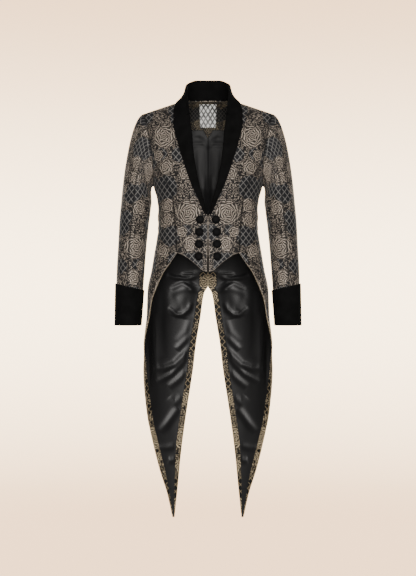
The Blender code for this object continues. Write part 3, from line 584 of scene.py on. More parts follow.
def crossing_lines(add, place, across, down):
    """How far the nearest of two sets of slanting lines is, as a share of the space between them."""
    slope = add("ShaderNodeVectorMath", {0: place, 1: (across, down, 1)}, operation="DIVIDE").outputs[0]
    slope = add("ShaderNodeSeparateXYZ", {0: slope}).outputs
    nearest = 0.5
    for operation in ("ADD", "SUBTRACT"):
        line = add("ShaderNodeMath", {0: slope["X"], 1: slope["Y"]}, operation=operation).outputs[0]
        line = add("ShaderNodeMath", {0: line, 1: 0.5}, operation="PINGPONG").outputs[0]
        nearest = add("ShaderNodeMath", {0: nearest, 1: line}, operation="MINIMUM").outputs[0]
    return nearest


def brocade_finish(name, thread, ground, trellis_thread, trellis_ground, scale=1.0):
    """A jacquard brocade: roses of pale thread with curling stems between them, and patches of trellis."""
    material, add = new_material(name)
    cloth = add("ShaderNodeUVMap", uv_map="cloth").outputs[0]
    place = add("ShaderNodeVectorMath", {0: cloth, "Scale": 1 / scale}, operation="SCALE").outputs[0]
    stems = add("ShaderNodeTexNoise", {"Vector": place, "Scale": 1 / STEM_SIZE, "Detail": 1.0}).outputs
    wobble = add("ShaderNodeVectorMath", {0: stems["Color"], 1: (0.5, 0.5, 0.5)},
                 operation="SUBTRACT").outputs[0]
    bent = add("ShaderNodeVectorMath", {0: wobble, 1: (WAVER, WAVER, 0), 2: place},
               operation="MULTIPLY_ADD").outputs[0]

    # Roses: rings of petal edges, scalloped and twisted round the middle
    offset, share = nearest_motif(add, bent, ROSES)
    part = add("ShaderNodeSeparateXYZ", {0: offset}).outputs
    turn = add("ShaderNodeMath", {0: part["Y"], 1: part["X"]}, operation="ARCTAN2").outputs[0]
    radius = add("ShaderNodeVectorMath", {0: offset}, operation="LENGTH").outputs["Value"]
    rings = add("ShaderNodeMath", {0: radius, 1: PETAL_RING}, operation="DIVIDE").outputs[0]
    twisted = add("ShaderNodeMath", {0: rings, 1: TWIST}, operation="MULTIPLY").outputs[0]
    petals = add("ShaderNodeMath", {0: turn, 1: SCALLOPS, 2: twisted}, operation="MULTIPLY_ADD").outputs[0]
    petals = add("ShaderNodeMath", {0: petals}, operation="SINE").outputs[0]
    petals = add("ShaderNodeMath", {0: petals}, operation="ABSOLUTE").outputs[0]
    petals = add("ShaderNodeMath", {0: petals, 1: SCALLOP_DEPTH, 2: rings},
                 operation="MULTIPLY_ADD").outputs[0]
    petals = add("ShaderNodeMath", {0: petals, 1: 0.5}, operation="PINGPONG").outputs[0]
    petals = add("ShaderNodeMapRange", {"Value": petals, "From Min": 0.25, "From Max": 0.42,
                                        "To Min": 0.06, "To Max": 0.92}).outputs[0]
    share = add("ShaderNodeMath", {0: stems[0], 1: RAGGEDNESS, 2: share},
                operation="MULTIPLY_ADD").outputs[0]
    share = add("ShaderNodeMath", {0: share, 1: RAGGEDNESS / 2}, operation="SUBTRACT").outputs[0]
    rose = add("ShaderNodeMapRange", {"Value": share, "From Min": 1.04, "From Max": 0.96}).outputs[0]
    outline = add("ShaderNodeMapRange", {"Value": share, "From Min": 1.02, "From Max": 1.08}).outputs[0]

    # Stems and leaves: thin lines that follow the heights of a soft random field
    winding = add("ShaderNodeMath", {0: stems[0], 1: STEMS_IN_SIZE}, operation="MULTIPLY").outputs[0]
    winding = add("ShaderNodeMath", {0: winding, 1: 0.5}, operation="PINGPONG").outputs[0]
    winding = add("ShaderNodeMapRange", {"Value": winding, "From Min": 0.31, "From Max": 0.43,
                                         "To Max": 0.62}).outputs[0]
    winding = add("ShaderNodeMath", {0: winding, 1: outline}, operation="MULTIPLY").outputs[0]
    figure = add("ShaderNodeMix", {"Factor": rose, 2: winding, 3: petals}).outputs[0]

    # Trellis: two sets of slanting lines on a dark patch, which the roses lie over
    patch = nearest_motif(add, bent, TRELLISES)[1]
    patch = add("ShaderNodeMapRange", {"Value": patch, "From Min": 1.03, "From Max": 0.97}).outputs[0]
    patch = add("ShaderNodeMix", {"Factor": rose, 2: patch, 3: 0.0}).outputs[0]
    bars = crossing_lines(add, place, TRELLIS_ACROSS, TRELLIS_DOWN)
    bars = add("ShaderNodeMapRange", {"Value": bars, "From Min": 0.10, "From Max": 0.04}).outputs[0]

    # Colours, with single threads, a slow change of lustre, painted shade along seams and a painted
    # highlight: a pale line along open edges, where the cloth turns over
    colour = add("ShaderNodeMix", {"Factor": figure, 6: to_linear(ground), 7: to_linear(thread)},
                 data_type="RGBA").outputs[2]
    trellis_colour = add("ShaderNodeMix",
                         {"Factor": bars, 6: to_linear(trellis_ground), 7: to_linear(trellis_thread)},
                         data_type="RGBA").outputs[2]
    colour = add("ShaderNodeMix", {"Factor": patch, 6: colour, 7: trellis_colour},
                 data_type="RGBA").outputs[2]
    weave = add("ShaderNodeTexNoise", {"Vector": cloth, "Scale": 1 / THREAD, "Detail": 1.0}).outputs[0]
    lustre = add("ShaderNodeTexNoise", {"Vector": cloth, "Scale": 1 / LUSTRE_SIZE, "Detail": 2.0}).outputs[0]
    tone = add("ShaderNodeMath", {0: weave, 1: 0.7, 2: 0.30}, operation="MULTIPLY_ADD").outputs[0]
    tone = add("ShaderNodeMath", {0: lustre, 1: 0.7, 2: tone}, operation="MULTIPLY_ADD").outputs[0]
    colour = add("ShaderNodeVectorMath", {0: colour, "Scale": tone}, operation="SCALE").outputs[0]
    # Painted shade: the colour darkens towards each seam
    seam = add("ShaderNodeAttribute", attribute_name="seam").outputs["Fac"]
    seam = add("ShaderNodeMapRange", {"Value": seam, "From Max": SEAM_SHADE,
                                      "To Min": SEAM_DARKEST}).outputs[0]
    colour = add("ShaderNodeVectorMath", {0: colour, "Scale": seam}, operation="SCALE").outputs[0]
    # Painted highlight: a pale line of thread colour along the open edges
    border = add("ShaderNodeAttribute", attribute_name="border").outputs["Fac"]
    edge_highlight = add("ShaderNodeMapRange", {"Value": border, "From Min": EDGE_HIGHLIGHT, "From Max": EDGE_HIGHLIGHT / 2,
                                           "To Max": EDGE_HIGHLIGHT_SHARE}).outputs[0]
    colour = add("ShaderNodeMix", {"Factor": edge_highlight, 6: colour, 7: to_linear(thread)},
                 data_type="RGBA").outputs[2]

    # The figures stand a little above the ground
    height = add("ShaderNodeMix", {"Factor": patch, 2: figure, 3: bars}).outputs[0]
    height = add("ShaderNodeMath", {0: weave, 1: 0.35, 2: height}, operation="MULTIPLY_ADD").outputs[0]
    bump = add("ShaderNodeBump", {"Height": height, "Strength": 0.5, "Distance": 0.0004}).outputs[0]
    shader = add("ShaderNodeBsdfPrincipled",
                 {"Base Color": colour, "Roughness": 0.62, "Specular IOR Level": 0.25, "Sheen Weight": 0.08,
                  "Sheen Roughness": 0.5, "Normal": bump})
    add("ShaderNodeOutputMaterial", {"Surface": shader.outputs[0]})
    return material


# Silk and wool jacquard brocade: pale pinkish figures that stand a little above a dark ground, softly shiny
brocade = brocade_finish("jacquard_brocade", "#cdbfaf", "#211f1e", "#807e7b", "#202124")

STREAK = 0.0222  # across the soft streaks in a lining's gloss, which are four times as long


def lining_finish(name, smoothest, roughest, specular):
    """A black lining cloth, whose gloss changes a little in soft streaks along its threads."""
    material, add = new_material(name)
    cloth = add("ShaderNodeUVMap", uv_map="cloth").outputs[0]
    stretched = add("ShaderNodeVectorMath", {0: cloth, 1: (1.0, 0.25, 1.0)}, operation="MULTIPLY").outputs[0]
    streaks = add("ShaderNodeTexNoise", {"Vector": stretched, "Scale": 1 / STREAK, "Detail": 3.0}).outputs[0]
    threads = add("ShaderNodeTexNoise", {"Vector": cloth, "Scale": 1 / THREAD, "Detail": 1.0}).outputs[0]
    tone = add("ShaderNodeMix", {"Factor": streaks, 6: to_linear("#131314"), 7: to_linear("#1f1f20")},
               data_type="RGBA").outputs[2]
    gloss = add("ShaderNodeMapRange", {"Value": streaks, "To Min": smoothest, "To Max": roughest}).outputs[0]
    height = add("ShaderNodeMath", {0: threads, 1: 0.2, 2: streaks}, operation="MULTIPLY_ADD").outputs[0]
    bump = add("ShaderNodeBump", {"Height": height, "Strength": 0.25, "Distance": 0.0005}).outputs[0]
    shader = add("ShaderNodeBsdfPrincipled", {"Base Color": tone, "Roughness": gloss,
                                              "Specular IOR Level": specular, "Normal": bump})
    add("ShaderNodeOutputMaterial", {"Surface": shader.outputs[0]})
    return material


# Acetate satin: smooth black cloth whose folds carry broad soft highlights
satin = lining_finish("black_satin_lining", 0.36, 0.46, 0.42)

# A front's cloth drags softly from the armhole and the waist
FRONT_FOLDS = (  # rise, width and route, from the centre and the height
    (-0.0016, 0.010, (0.150, -0.125), (0.118, -0.175), (0.100, -0.235)),
    (0.0012, 0.009, (0.140, -0.140), (0.122, -0.200), (0.108, -0.262)),
    (-0.0014, 0.008, (0.098, -0.330), (0.075, -0.345), (0.052, -0.352)),
    (0.0010, 0.008, (0.096, -0.352), (0.074, -0.368), (0.056, -0.372)),
    (-0.0012, 0.008, (0.092, -0.400), (0.070, -0.396), (0.050, -0.388)),
)
front_angle, front_level = front_places()
front_points = torso(front_angle, front_level)
front_facing = outward(front_angle, front_level)
front_folds = relief(FRONT_FOLDS, front_points[..., 0], front_points[..., 2])
front_points = front_points + front_facing * front_folds[..., None]
both_sides("front", front_points, front_facing, cloth_place(front_angle, front_level, 0), CLOTH,
           (brocade, satin), "brocade", border=edge_distance(front_points, ("start", "bottom")),
           seam=edge_distance(front_points, ("end",)))


# Side bodies: two panels of the same brocade, sewn to the fronts and the backs. Each runs from under the arm
# down into the outer half of a tail, in one piece, with the cutaway edge in front.
TOP_ZONE_END = -0.270
SIDE_BACK_TOP = -0.130
TAIL_END = -1.262
SCOOP_END = 0.92  # the share of the armhole's bottom that is an arc
SIDE_COLUMNS = 45
UNDERARM_ROWS, SIDE_ROWS = 40, 250
# The cutaway edge starts on the front half of the coat and comes round to the back half
CUTAWAY = table(
    "z x half",
    (-0.4518, 0.0910, -1),
    (-0.474, 0.1060, -1),
    (-0.512, 0.1340, -1),
    (-0.555, 0.1540, -1),
    (-0.594, 0.1690, -1),
    (-0.644, 0.1775, -1),
    (-0.683, 0.1870, -1),
    (-0.756, 0.1960, 1),
    (-0.813, 0.1965, 1),
    (-0.893, 0.1900, 1),
    (-0.963, 0.1820, 1),
    (-1.032, 0.1680, 1),
    (-1.1125, 0.1490, 1),
    (-1.188, 0.1260, 1),
    (-1.262, 0.1096, 1),
)
# The seam between side body and back
SIDE_BACK = table(
    "z x",
    (-0.170, 0.1500),
    (-0.220, 0.1230),
    (-0.290, 0.0860),
    (-0.360, 0.0650),
    (-0.450, 0.0600),
    (-0.550, 0.0680),
    (-0.650, 0.0830),
    (-0.800, 0.1040),
    (-0.950, 0.1140),
    (-1.100, 0.1155),
    (-1.200, 0.1115),
    (-1.262, 0.1068),
)
CUTAWAY_ANGLES = table(
    "level angle",
    *((z, angle_for(x, z, half < 0)) for z, x, half in zip(CUTAWAY["z"], CUTAWAY["x"], CUTAWAY["half"])))
SIDE_BACK_ANGLES = table("level angle", (SIDE_BACK_TOP, armhole_angle(SIDE_BACK_TOP, False)),
                         *zip(SIDE_BACK["z"], edge_angle(SIDE_BACK, SIDE_BACK["z"], False)))


def tail_edge(level):
    """The side body's front edge: the princess seam and, below it, the cutaway edge."""
    return np.where(level >= WAIST, princess(level), read(CUTAWAY_ANGLES, "level", "angle", level))


def side_back(level):
    """The seam between side body and back, down to the tip of the tail."""
    return read(SIDE_BACK_ANGLES, "level", "angle", level)


def armhole_bottom(share):
    """Places on the bottom of the armhole, from the princess seam at 0 to the side back seam at 1."""
    start = -math.acos((ARMHOLE_MIDDLE - PRINCESS_TOP) / (ARMHOLE_MIDDLE - CHEST))
    turn = np.minimum(start + (math.pi / 2 - start) * share / SCOOP_END, math.pi / 2)
    past = np.clip((share - SCOOP_END) / (1 - SCOOP_END), 0, 1)
    spread = np.where(turn < 0, ARMHOLE["front"][0], ARMHOLE["back"][0])
    level = ARMHOLE_MIDDLE - (ARMHOLE_MIDDLE - CHEST) * np.cos(turn)
    level = level + (SIDE_BACK_TOP - ARMHOLE_MIDDLE) * past
    return np.where(past > 0, armhole_angle(level, False), 90 + spread * np.sin(turn)), level


def side_places():
    """Angles and levels of a side body's rows, from its front edge to the side back seam."""
    shares = np.linspace(0, 1, SIDE_COLUMNS)
    scoop_angle, scoop_level = armhole_bottom(shares)
    base = princess(TOP_ZONE_END) + (side_back(TOP_ZONE_END) - princess(TOP_ZONE_END)) * shares
    angles, levels = [], []
    for part in np.linspace(0, 1, UNDERARM_ROWS):
        middle = np.stack([scoop_angle, scoop_level]) * (1 - part)
        middle = middle + np.stack([base, np.full(SIDE_COLUMNS, TOP_ZONE_END)]) * part
        left = PRINCESS_TOP + (TOP_ZONE_END - PRINCESS_TOP) * part
        right = SIDE_BACK_TOP + (TOP_ZONE_END - SIDE_BACK_TOP) * part
        off_left = np.array([princess(left), left]) - middle[:, 0]
        off_right = np.array([side_back(right), right]) - middle[:, -1]
        row = middle + off_left[:, None] * (1 - shares) + off_right[:, None] * shares
        angles.append(row[0])
        levels.append(row[1])
    for level in np.linspace(TOP_ZONE_END, TAIL_END, SIDE_ROWS)[1:]:
        angles.append(tail_edge(level) + (side_back(level) - tail_edge(level)) * shares)
        levels.append(np.full(len(shares), level))
    return np.array(angles), np.array(levels)


SIDE_REACH = 0.200  # from the side to the centre, along the cloth
SIDE_FOLDS = (  # rise, width and route, across from the side and the height
    (-0.0020, 0.012, (0.020, -0.300), (0.012, -0.340), (-0.010, -0.372)),
    (0.0018, 0.011, (-0.030, -0.330), (0.000, -0.352), (0.026, -0.356)),
    (-0.0016, 0.010, (-0.040, -0.372), (-0.010, -0.388), (0.024, -0.392)),
    (0.0030, 0.020, (0.040, -0.560), (0.052, -0.760), (0.066, -0.980)),
    (-0.0026, 0.018, (0.012, -0.620), (0.022, -0.800), (0.044, -0.960)),
    (0.0020, 0.016, (0.090, -0.700), (0.094, -0.900), (0.104, -1.080)),
)
side_angle, side_level = side_places()
side_uv = cloth_place(side_angle, side_level, 0)
side_facing = outward(side_angle, side_level)
side_points = torso(side_angle, side_level)
from_side = (side_angle - 90) / 90 * SIDE_REACH
side_folds = relief(SIDE_FOLDS, from_side, side_points[..., 2])
side_points = side_points + side_facing * side_folds[..., None]
side_border = np.where(side_level > WAIST, 1, edge_distance(side_points, ("start", "bottom")))
side_seam = np.where(side_level > WAIST, edge_distance(side_points, ("start", "end", "top")),
                     edge_distance(side_points, ("end",)))
both_sides("side", side_points, side_facing, side_uv, CLOTH, (brocade, satin), "brocade",
           border=side_border, seam=side_seam)


# Backs: two long panels of the same brocade, sewn together down the centre back to the top of the vent, from
# where each runs on into the inner half of a tail.
VENT_TOP = -0.550
BACK_ROWS = 254  # below the chest
VENT = table(
    "z x",
    (-0.550, 0.0000),
    (-0.572, 0.0123),
    (-0.646, 0.0237),
    (-0.726, 0.0369),
    (-0.806, 0.0464),
    (-0.863, 0.0550),
    (-0.954, 0.0692),
    (-1.062, 0.0835),
    (-1.177, 0.0949),
    (-1.262, 0.1040),
)


def back_edge(level):
    """The centre back seam and, below it, the edge of the vent."""
    return np.where(level >= VENT_TOP, 180, edge_angle(VENT, level, False))


def back_outer(level):
    """The back's outer edge: the armhole and, below it, the seam with the side body."""
    return np.where(level >= SIDE_BACK_TOP, armhole_angle(level, False), side_back(level))


def across_back(level, shares):
    """Angles at shares of the way from the back's inner edge to its outer one."""
    return back_edge(level) + (back_outer(level) - back_edge(level)) * shares


BACK_FOLDS = (  # rise, width and route, from the centre and the height
    (0.0020, 0.012, (0.130, -0.110), (0.118, -0.180), (0.090, -0.240)),
    (-0.0018, 0.010, (0.110, -0.100), (0.092, -0.160), (0.070, -0.215)),
    (-0.0016, 0.009, (0.060, -0.318), (0.034, -0.330), (0.010, -0.334)),
    (0.0016, 0.009, (0.062, -0.340), (0.038, -0.352), (0.012, -0.358)),
    (-0.0014, 0.009, (0.056, -0.372), (0.034, -0.378), (0.012, -0.378)),
    (0.0034, 0.017, (0.044, -0.500), (0.056, -0.700), (0.086, -0.900)),
    (-0.0026, 0.015, (0.028, -0.560), (0.044, -0.720), (0.064, -0.860)),
    (0.0020, 0.014, (0.088, -0.900), (0.100, -1.020), (0.106, -1.120)),
)
back_levels = np.concatenate([SHOULDER_LEVELS, np.linspace(CHEST, TAIL_END, BACK_ROWS)[1:]])
back_level = np.repeat(back_levels[:, None], COLUMNS, axis=1)
back_angle = across_back(back_level, np.linspace(1, 0, COLUMNS))
back_points, back_facing = torso(back_angle, back_level), outward(back_angle, back_level)
back_folds = relief(BACK_FOLDS, back_points[..., 0], back_points[..., 2])
back_points = back_points + back_facing * back_folds[..., None]
both_sides("back", back_points, back_facing, cloth_place(back_angle, back_level, 180), CLOTH,
           (brocade, satin), "brocade", border=edge_distance(back_points, ("bottom",)),
           seam=edge_distance(back_points, ("start", "end")))


# Sleeves: an upper and an under sleeve of the same brocade, sewn together into a bent tube and set into the
# armhole with a soft head.
SLEEVE = table(
    "z outer inner middle_y depth",
    (-0.300, 0.2605, 0.1690, 0.000, 0.0620),
    (-0.354, 0.2655, 0.1760, -0.002, 0.0600),
    (-0.427, 0.2690, 0.1836, -0.008, 0.0565),
    (-0.500, 0.2725, 0.1890, -0.016, 0.0530),
    (-0.558, 0.2737, 0.1930, -0.023, 0.0505),
    (-0.670, 0.2747, 0.2010, -0.036, 0.0470),
)
SLEEVE_GIRTH = 0.300  # round the arm, as the folds' places take it
SLEEVE_TILE = -0.034, -0.5425  # so that trellis and roses come by turns down the sleeve's front
HEAD_END = -0.300
SLEEVE_END = -0.640
# The sleeve's head is a curve at each place round the arm. It leaves the armhole outwards, most at the top,
# and arrives at the level end of the head from above.
LEAVE_OUT, LEAVE_OUT_TOP = 0.012, 0.023
LEAVE_DROP_TOP, LEAVE_LEAN = 0.004, 0.010
ARRIVE_ABOVE, ARRIVE_ABOVE_TOP, ARRIVE_IN_TOP = 0.018, 0.102, 0.010
FRONT_SEAM_LEVEL, BACK_SEAM_LEVEL = -0.122, -0.105  # where the sleeve's seams meet the armhole
HEAD_ROWS, ARM_ROWS = 40, 86


def sleeve_ring(z, turns):
    """Level sections of the sleeve: 0 degrees at its outer side, 90 in front, 180 next to the body."""
    outer, inner = read(SLEEVE, "z", "outer", z), read(SLEEVE, "z", "inner", z)
    across = (outer + inner) / 2 + (outer - inner) / 2 * np.cos(np.radians(turns))
    forward = read(SLEEVE, "z", "middle_y", z) - read(SLEEVE, "z", "depth", z) * np.sin(np.radians(turns))
    return np.stack([across, forward, np.broadcast_to(z, across.shape)], axis=-1)


def grid_normals(points, around):
    """Unit normals of a grid of points whose columns close to a ring where around is true."""
    down = np.gradient(points, axis=0)
    if around:
        across = np.roll(points, -1, axis=1) - np.roll(points, 1, axis=1)
    else:
        across = np.gradient(points, axis=1)
    normals = np.cross(across, -down)
    return normals / np.maximum(np.linalg.norm(normals, axis=2, keepdims=True), 1e-12)


front_rows = front_level[:, -1] >= PRINCESS_TOP
back_rows = back_levels >= SIDE_BACK_TOP
hole = np.concatenate([
    torso(armhole_angle(front_level[front_rows, -1], True), front_level[front_rows, -1]),
    torso(*armhole_bottom(np.linspace(0, 1, SIDE_COLUMNS)))[:-1],
    torso(armhole_angle(back_levels[back_rows], False), back_levels[back_rows])[:0:-1],
])
steps = np.linalg.norm(np.diff(np.concatenate([hole, hole[:1]]), axis=0), axis=1)
travelled = np.concatenate([[0], np.cumsum(steps)])
lowest = int(np.argmin(hole[:, 2]))
half = travelled[lowest]
turns = np.where(np.arange(len(hole)) <= lowest, 180 * travelled[:-1] / half,
                 180 + 180 * (travelled[:-1] - half) / (travelled[-1] - half))
topness = (1 + np.cos(np.radians(turns))) / 2
lean = -LEAVE_LEAN * np.sin(np.radians(turns))
leave = hole + np.stack([LEAVE_OUT + LEAVE_OUT_TOP * topness, lean, -LEAVE_DROP_TOP * topness], axis=1)
head_end = sleeve_ring(HEAD_END, turns)
above = ARRIVE_ABOVE + ARRIVE_ABOVE_TOP * topness
arrive = head_end + np.stack([-ARRIVE_IN_TOP * topness, np.zeros(len(hole)), above], axis=1)
rings = []
for share in np.linspace(0, 1, HEAD_ROWS)[:-1]:
    rest = 1 - share
    rings.append(rest**3 * hole + 3 * rest**2 * share * leave
                 + 3 * rest * share**2 * arrive + share**3 * head_end)
rings += [sleeve_ring(z, turns) for z in np.linspace(HEAD_END, SLEEVE_END, ARM_ROWS)]
sleeve_points = np.array(rings)
sleeve_normals = -grid_normals(sleeve_points, True)
round_arm = np.linalg.norm(np.diff(sleeve_points, axis=1, append=sleeve_points[:, :1]), axis=2)
across = np.cumsum(round_arm, axis=1) - round_arm
down = np.cumsum(np.linalg.norm(np.diff(sleeve_points, axis=0, prepend=sleeve_points[:1]), axis=2), axis=0)
across = np.where(np.arange(across.shape[1]) > lowest, across - round_arm.sum(axis=1, keepdims=True), across)
sleeve_uv = np.stack([across, down[-1] - down], axis=-1) + SLEEVE_TILE
SLEEVE_FOLDS = (  # rise, width and route, by the share of the way round the arm and the height
    (0.0030, 0.020, (0.250, -0.120), (0.240, -0.300), (0.225, -0.530)),
    (-0.0022, 0.016, (0.330, -0.220), (0.320, -0.330), (0.300, -0.450)),
    (0.0026, 0.012, (0.480, -0.330), (0.400, -0.348), (0.310, -0.352)),
    (-0.0028, 0.010, (0.470, -0.354), (0.400, -0.368), (0.330, -0.370)),
    (0.0020, 0.010, (0.480, -0.380), (0.420, -0.390), (0.350, -0.388)),
    (-0.0018, 0.010, (0.120, -0.400), (0.160, -0.380), (0.220, -0.374)),
    (0.0018, 0.012, (0.060, -0.180), (0.090, -0.240), (0.150, -0.300)),
    (-0.0022, 0.012, (0.560, -0.340), (0.640, -0.360), (0.740, -0.362)),
    (0.0020, 0.012, (0.560, -0.372), (0.640, -0.392), (0.720, -0.396)),
    (0.0024, 0.020, (0.780, -0.160), (0.770, -0.320), (0.750, -0.520)),
)
folds = [(rise, width, *[(share * SLEEVE_GIRTH, z) for share, z in route])
         for rise, width, *route in SLEEVE_FOLDS]
round_arm = np.broadcast_to(turns / 360 * SLEEVE_GIRTH, sleeve_points.shape[:2])
sleeve_folds = relief(folds, round_arm, sleeve_points[..., 2])
sleeve_points = sleeve_points + sleeve_normals * sleeve_folds[..., None]

front_seam = int(np.argmin(abs(front_level[front_rows, -1] - FRONT_SEAM_LEVEL)))
back_seam = len(hole) - int(np.argmin(abs(back_levels[back_rows] - BACK_SEAM_LEVEL)))
under = list(range(front_seam, back_seam + 1))
upper = list(range(back_seam, len(hole))) + list(range(front_seam + 1))
for name, columns in (("sleeve_upper", upper), ("sleeve_under", under)):
    points = sleeve_points[:, columns]
    both_sides(name, points, sleeve_normals[:, columns], sleeve_uv[:, columns], CLOTH, (brocade, satin),
               "brocade", seam=edge_distance(points, ("top", "start", "end")))


# Linings and facings: black twill inside the back and satin inside the tails, with facings of brocade along
# the neck, the vent and the cutaway edge, all sewn in by their edges.
LINING = 0.0010
FACING = 0.0014
NECK_FACING_HEM = -0.0806
NECK_FACING_SHARE = 0.229  # of the way from the centre back to the armhole
NECK_POINT = 0.022  # how far the facing's point hangs below its hem
NECK_POINT_SHARE = 0.04
LINING_SHARE = 0.80
NECK_FACING_COLUMNS = NECK_FACING_ROWS = 31
LINING_COLUMNS, LINING_ROWS = 60, 130
STRIP_COLUMNS = 13
VENT_FACING_ROWS, EDGE_FACING_ROWS = 190, 196
FACING_TOP = -0.505
TAIL_LINING_END = -1.175
HALF = 0.5  # of the cloth between two edges, which is the most that a facing takes
VENT_FACING_WIDTH = 0.019
VENT_BLOCK_WIDTH = 0.0255
EDGE_FACING_WIDTH = 0.016
VENT_ROSE = 0.0628  # how far the vent facing was moved on the cloth, so that a rose lies in its block
FIRST_STRIP_LEVEL = -0.480
FIRST_STRIP_SHARE = 0.18  # how much of the side body the edge facing takes where it starts at the waist
INSIDE = -CLOTH - SEAM


def degrees_across(angle, level, width):
    """How many degrees of a section lie in a width of cloth."""
    return width * 0.5 / np.linalg.norm(torso(angle + 0.25, level) - torso(angle - 0.25, level), axis=-1)


def vent_facing_start(level):
    """Where the vent's facing ends and the lining starts."""
    inner, outer = back_edge(level), back_outer(level)
    strip = np.where(level >= VENT_TOP, 180 - angle_for(VENT_BLOCK_WIDTH, level, False),
                     degrees_across(inner, level, VENT_FACING_WIDTH))
    return inner - np.minimum(strip, HALF * (inner - outer))


def edge_facing_end(level):
    """Where the cutaway edge's facing ends and the lining starts."""
    outer, seam = tail_edge(level), side_back(level)
    strip = np.minimum(degrees_across(outer, level, EDGE_FACING_WIDTH), HALF * (seam - outer))
    begun = np.clip((WAIST - level) / (WAIST - FIRST_STRIP_LEVEL), 0, 1)
    return outer + FIRST_STRIP_SHARE * (seam - outer) * (1 - begun) + strip * begun


def inside_cloth(name, angle, level, thickness, depth, material, slot, single=False, open_sides=(),
                 moved=0.0):
    """A lining or facing inside the coat, seen from inside: a pair, or a single piece across the back."""
    points, facing = torso(angle, level), -outward(angle, level)
    uv = cloth_place(angle, level, 180) + np.array((moved, 0))
    points = points - facing * np.broadcast_to(np.asarray(depth, float), points.shape[:2])[..., None]
    if not single:
        both_sides(name, points, facing, uv, thickness, (material,), slot, offset=1.0,
                   border=edge_distance(points, open_sides))
        return
    flip = np.array((-1, 1, 1))
    points = np.concatenate([points, (points * flip)[:, -2::-1]], axis=1)
    facing = np.concatenate([facing, (facing * flip)[:, -2::-1]], axis=1)
    uv = np.concatenate([uv, (uv * flip[:2])[:, -2::-1]], axis=1)
    thing = cloth_object(f"{name}_cloth", points, facing, uv, thickness, (material,), offset=1.0,
                         border=edge_distance(points, open_sides))
    dress(thing, name)


def strip_places(levels, start, stop, columns):
    """Angles and levels of rows that run from one edge to another."""
    shares = np.linspace(0, 1, columns)
    return start[:, None] + (stop - start)[:, None] * shares, np.repeat(levels[:, None], columns, axis=1)


# Acetate twill: black, but its ribs scatter the light, so that only a dim glow shows on it
twill = lining_finish("black_twill_lining", 0.44, 0.56, 0.28)
# The same brocade in bronze: its lustrous thread lies on a dark brown ground
facing_brocade = brocade_finish("facing_brocade", "#e9d4ae", "#15120e", "#96866a", "#100e0b")
# The same brocade with a smaller figure, which shows at the neck. Its colours are darker, partly the cloth's
# own darker face and partly painted shade for the shadow under the collar
neck_brocade_painted_shade = brocade_finish("neck_brocade_painted_shade", "#8d8069", "#0d0b09", "#45423e", "#080808", scale=0.60)

shares = np.linspace(NECK_FACING_SHARE, 0, NECK_FACING_COLUMNS)
drop = NECK_POINT * np.clip(1 - shares / NECK_POINT_SHARE, 0, 1)
down = np.linspace(0, 1, NECK_FACING_ROWS)[:, None]
level = down * (NECK_FACING_HEM - drop * down**4)
angle = across_back(level, shares)
inside_cloth("neck_facing", angle, level, FACING, INSIDE, neck_brocade_painted_shade, "facing_brocade", single=True,
             open_sides=("top",))

# The back's lining hangs a little loose on each side of its centre seam, which draws it in
LINING_EASE = 0.0016
SEAM_DRAW = 0.0080
SEWN_ZONE = 1 / 16  # the share of the lining's length that its sewn ends hold flat
BACK_LINING_FOLDS = (  # rise, width and route, from the centre and the height
    (0.0016, 0.0055, (0.003, -0.1215), (0.024, -0.1170), (0.052, -0.1190)),
    (-0.0012, 0.0050, (0.005, -0.1110), (0.026, -0.1100), (0.050, -0.1130)),
    (0.0018, 0.0110, (0.034, -0.0880), (0.030, -0.1000), (0.027, -0.1120)),
    (-0.0012, 0.0060, (0.004, -0.0980), (0.016, -0.0900), (0.028, -0.0850)),
    (0.0018, 0.0130, (0.024, -0.1240), (0.027, -0.1900), (0.018, -0.3000)),
    (-0.0014, 0.0080, (0.048, -0.1100), (0.040, -0.1900), (0.026, -0.2800)),
    (0.0014, 0.0080, (0.062, -0.1250), (0.052, -0.2100), (0.034, -0.3200)),
    (0.0010, 0.0070, (0.010, -0.2100), (0.014, -0.2600), (0.010, -0.3300)),
)
shares = np.linspace(LINING_SHARE, 0, LINING_COLUMNS)
drop = NECK_POINT * np.clip(1 - shares / NECK_POINT_SHARE, 0, 1)
down = np.linspace(0, 1, LINING_ROWS)[:, None]
level = NECK_FACING_HEM - drop + (WAIST - NECK_FACING_HEM + drop) * down
angle = across_back(level, shares)
places = torso(angle, level)
ease = LINING_EASE * (1 - np.exp(-((places[..., 0] / SEAM_DRAW) ** 2)))
ease = ease + relief(BACK_LINING_FOLDS, places[..., 0], places[..., 2])
ease = ease * np.clip(np.minimum(down, 1 - down) / SEWN_ZONE, 0, 1)
inside_cloth("lining_back", angle, level, LINING, INSIDE - ease, twill, "satin_lining")

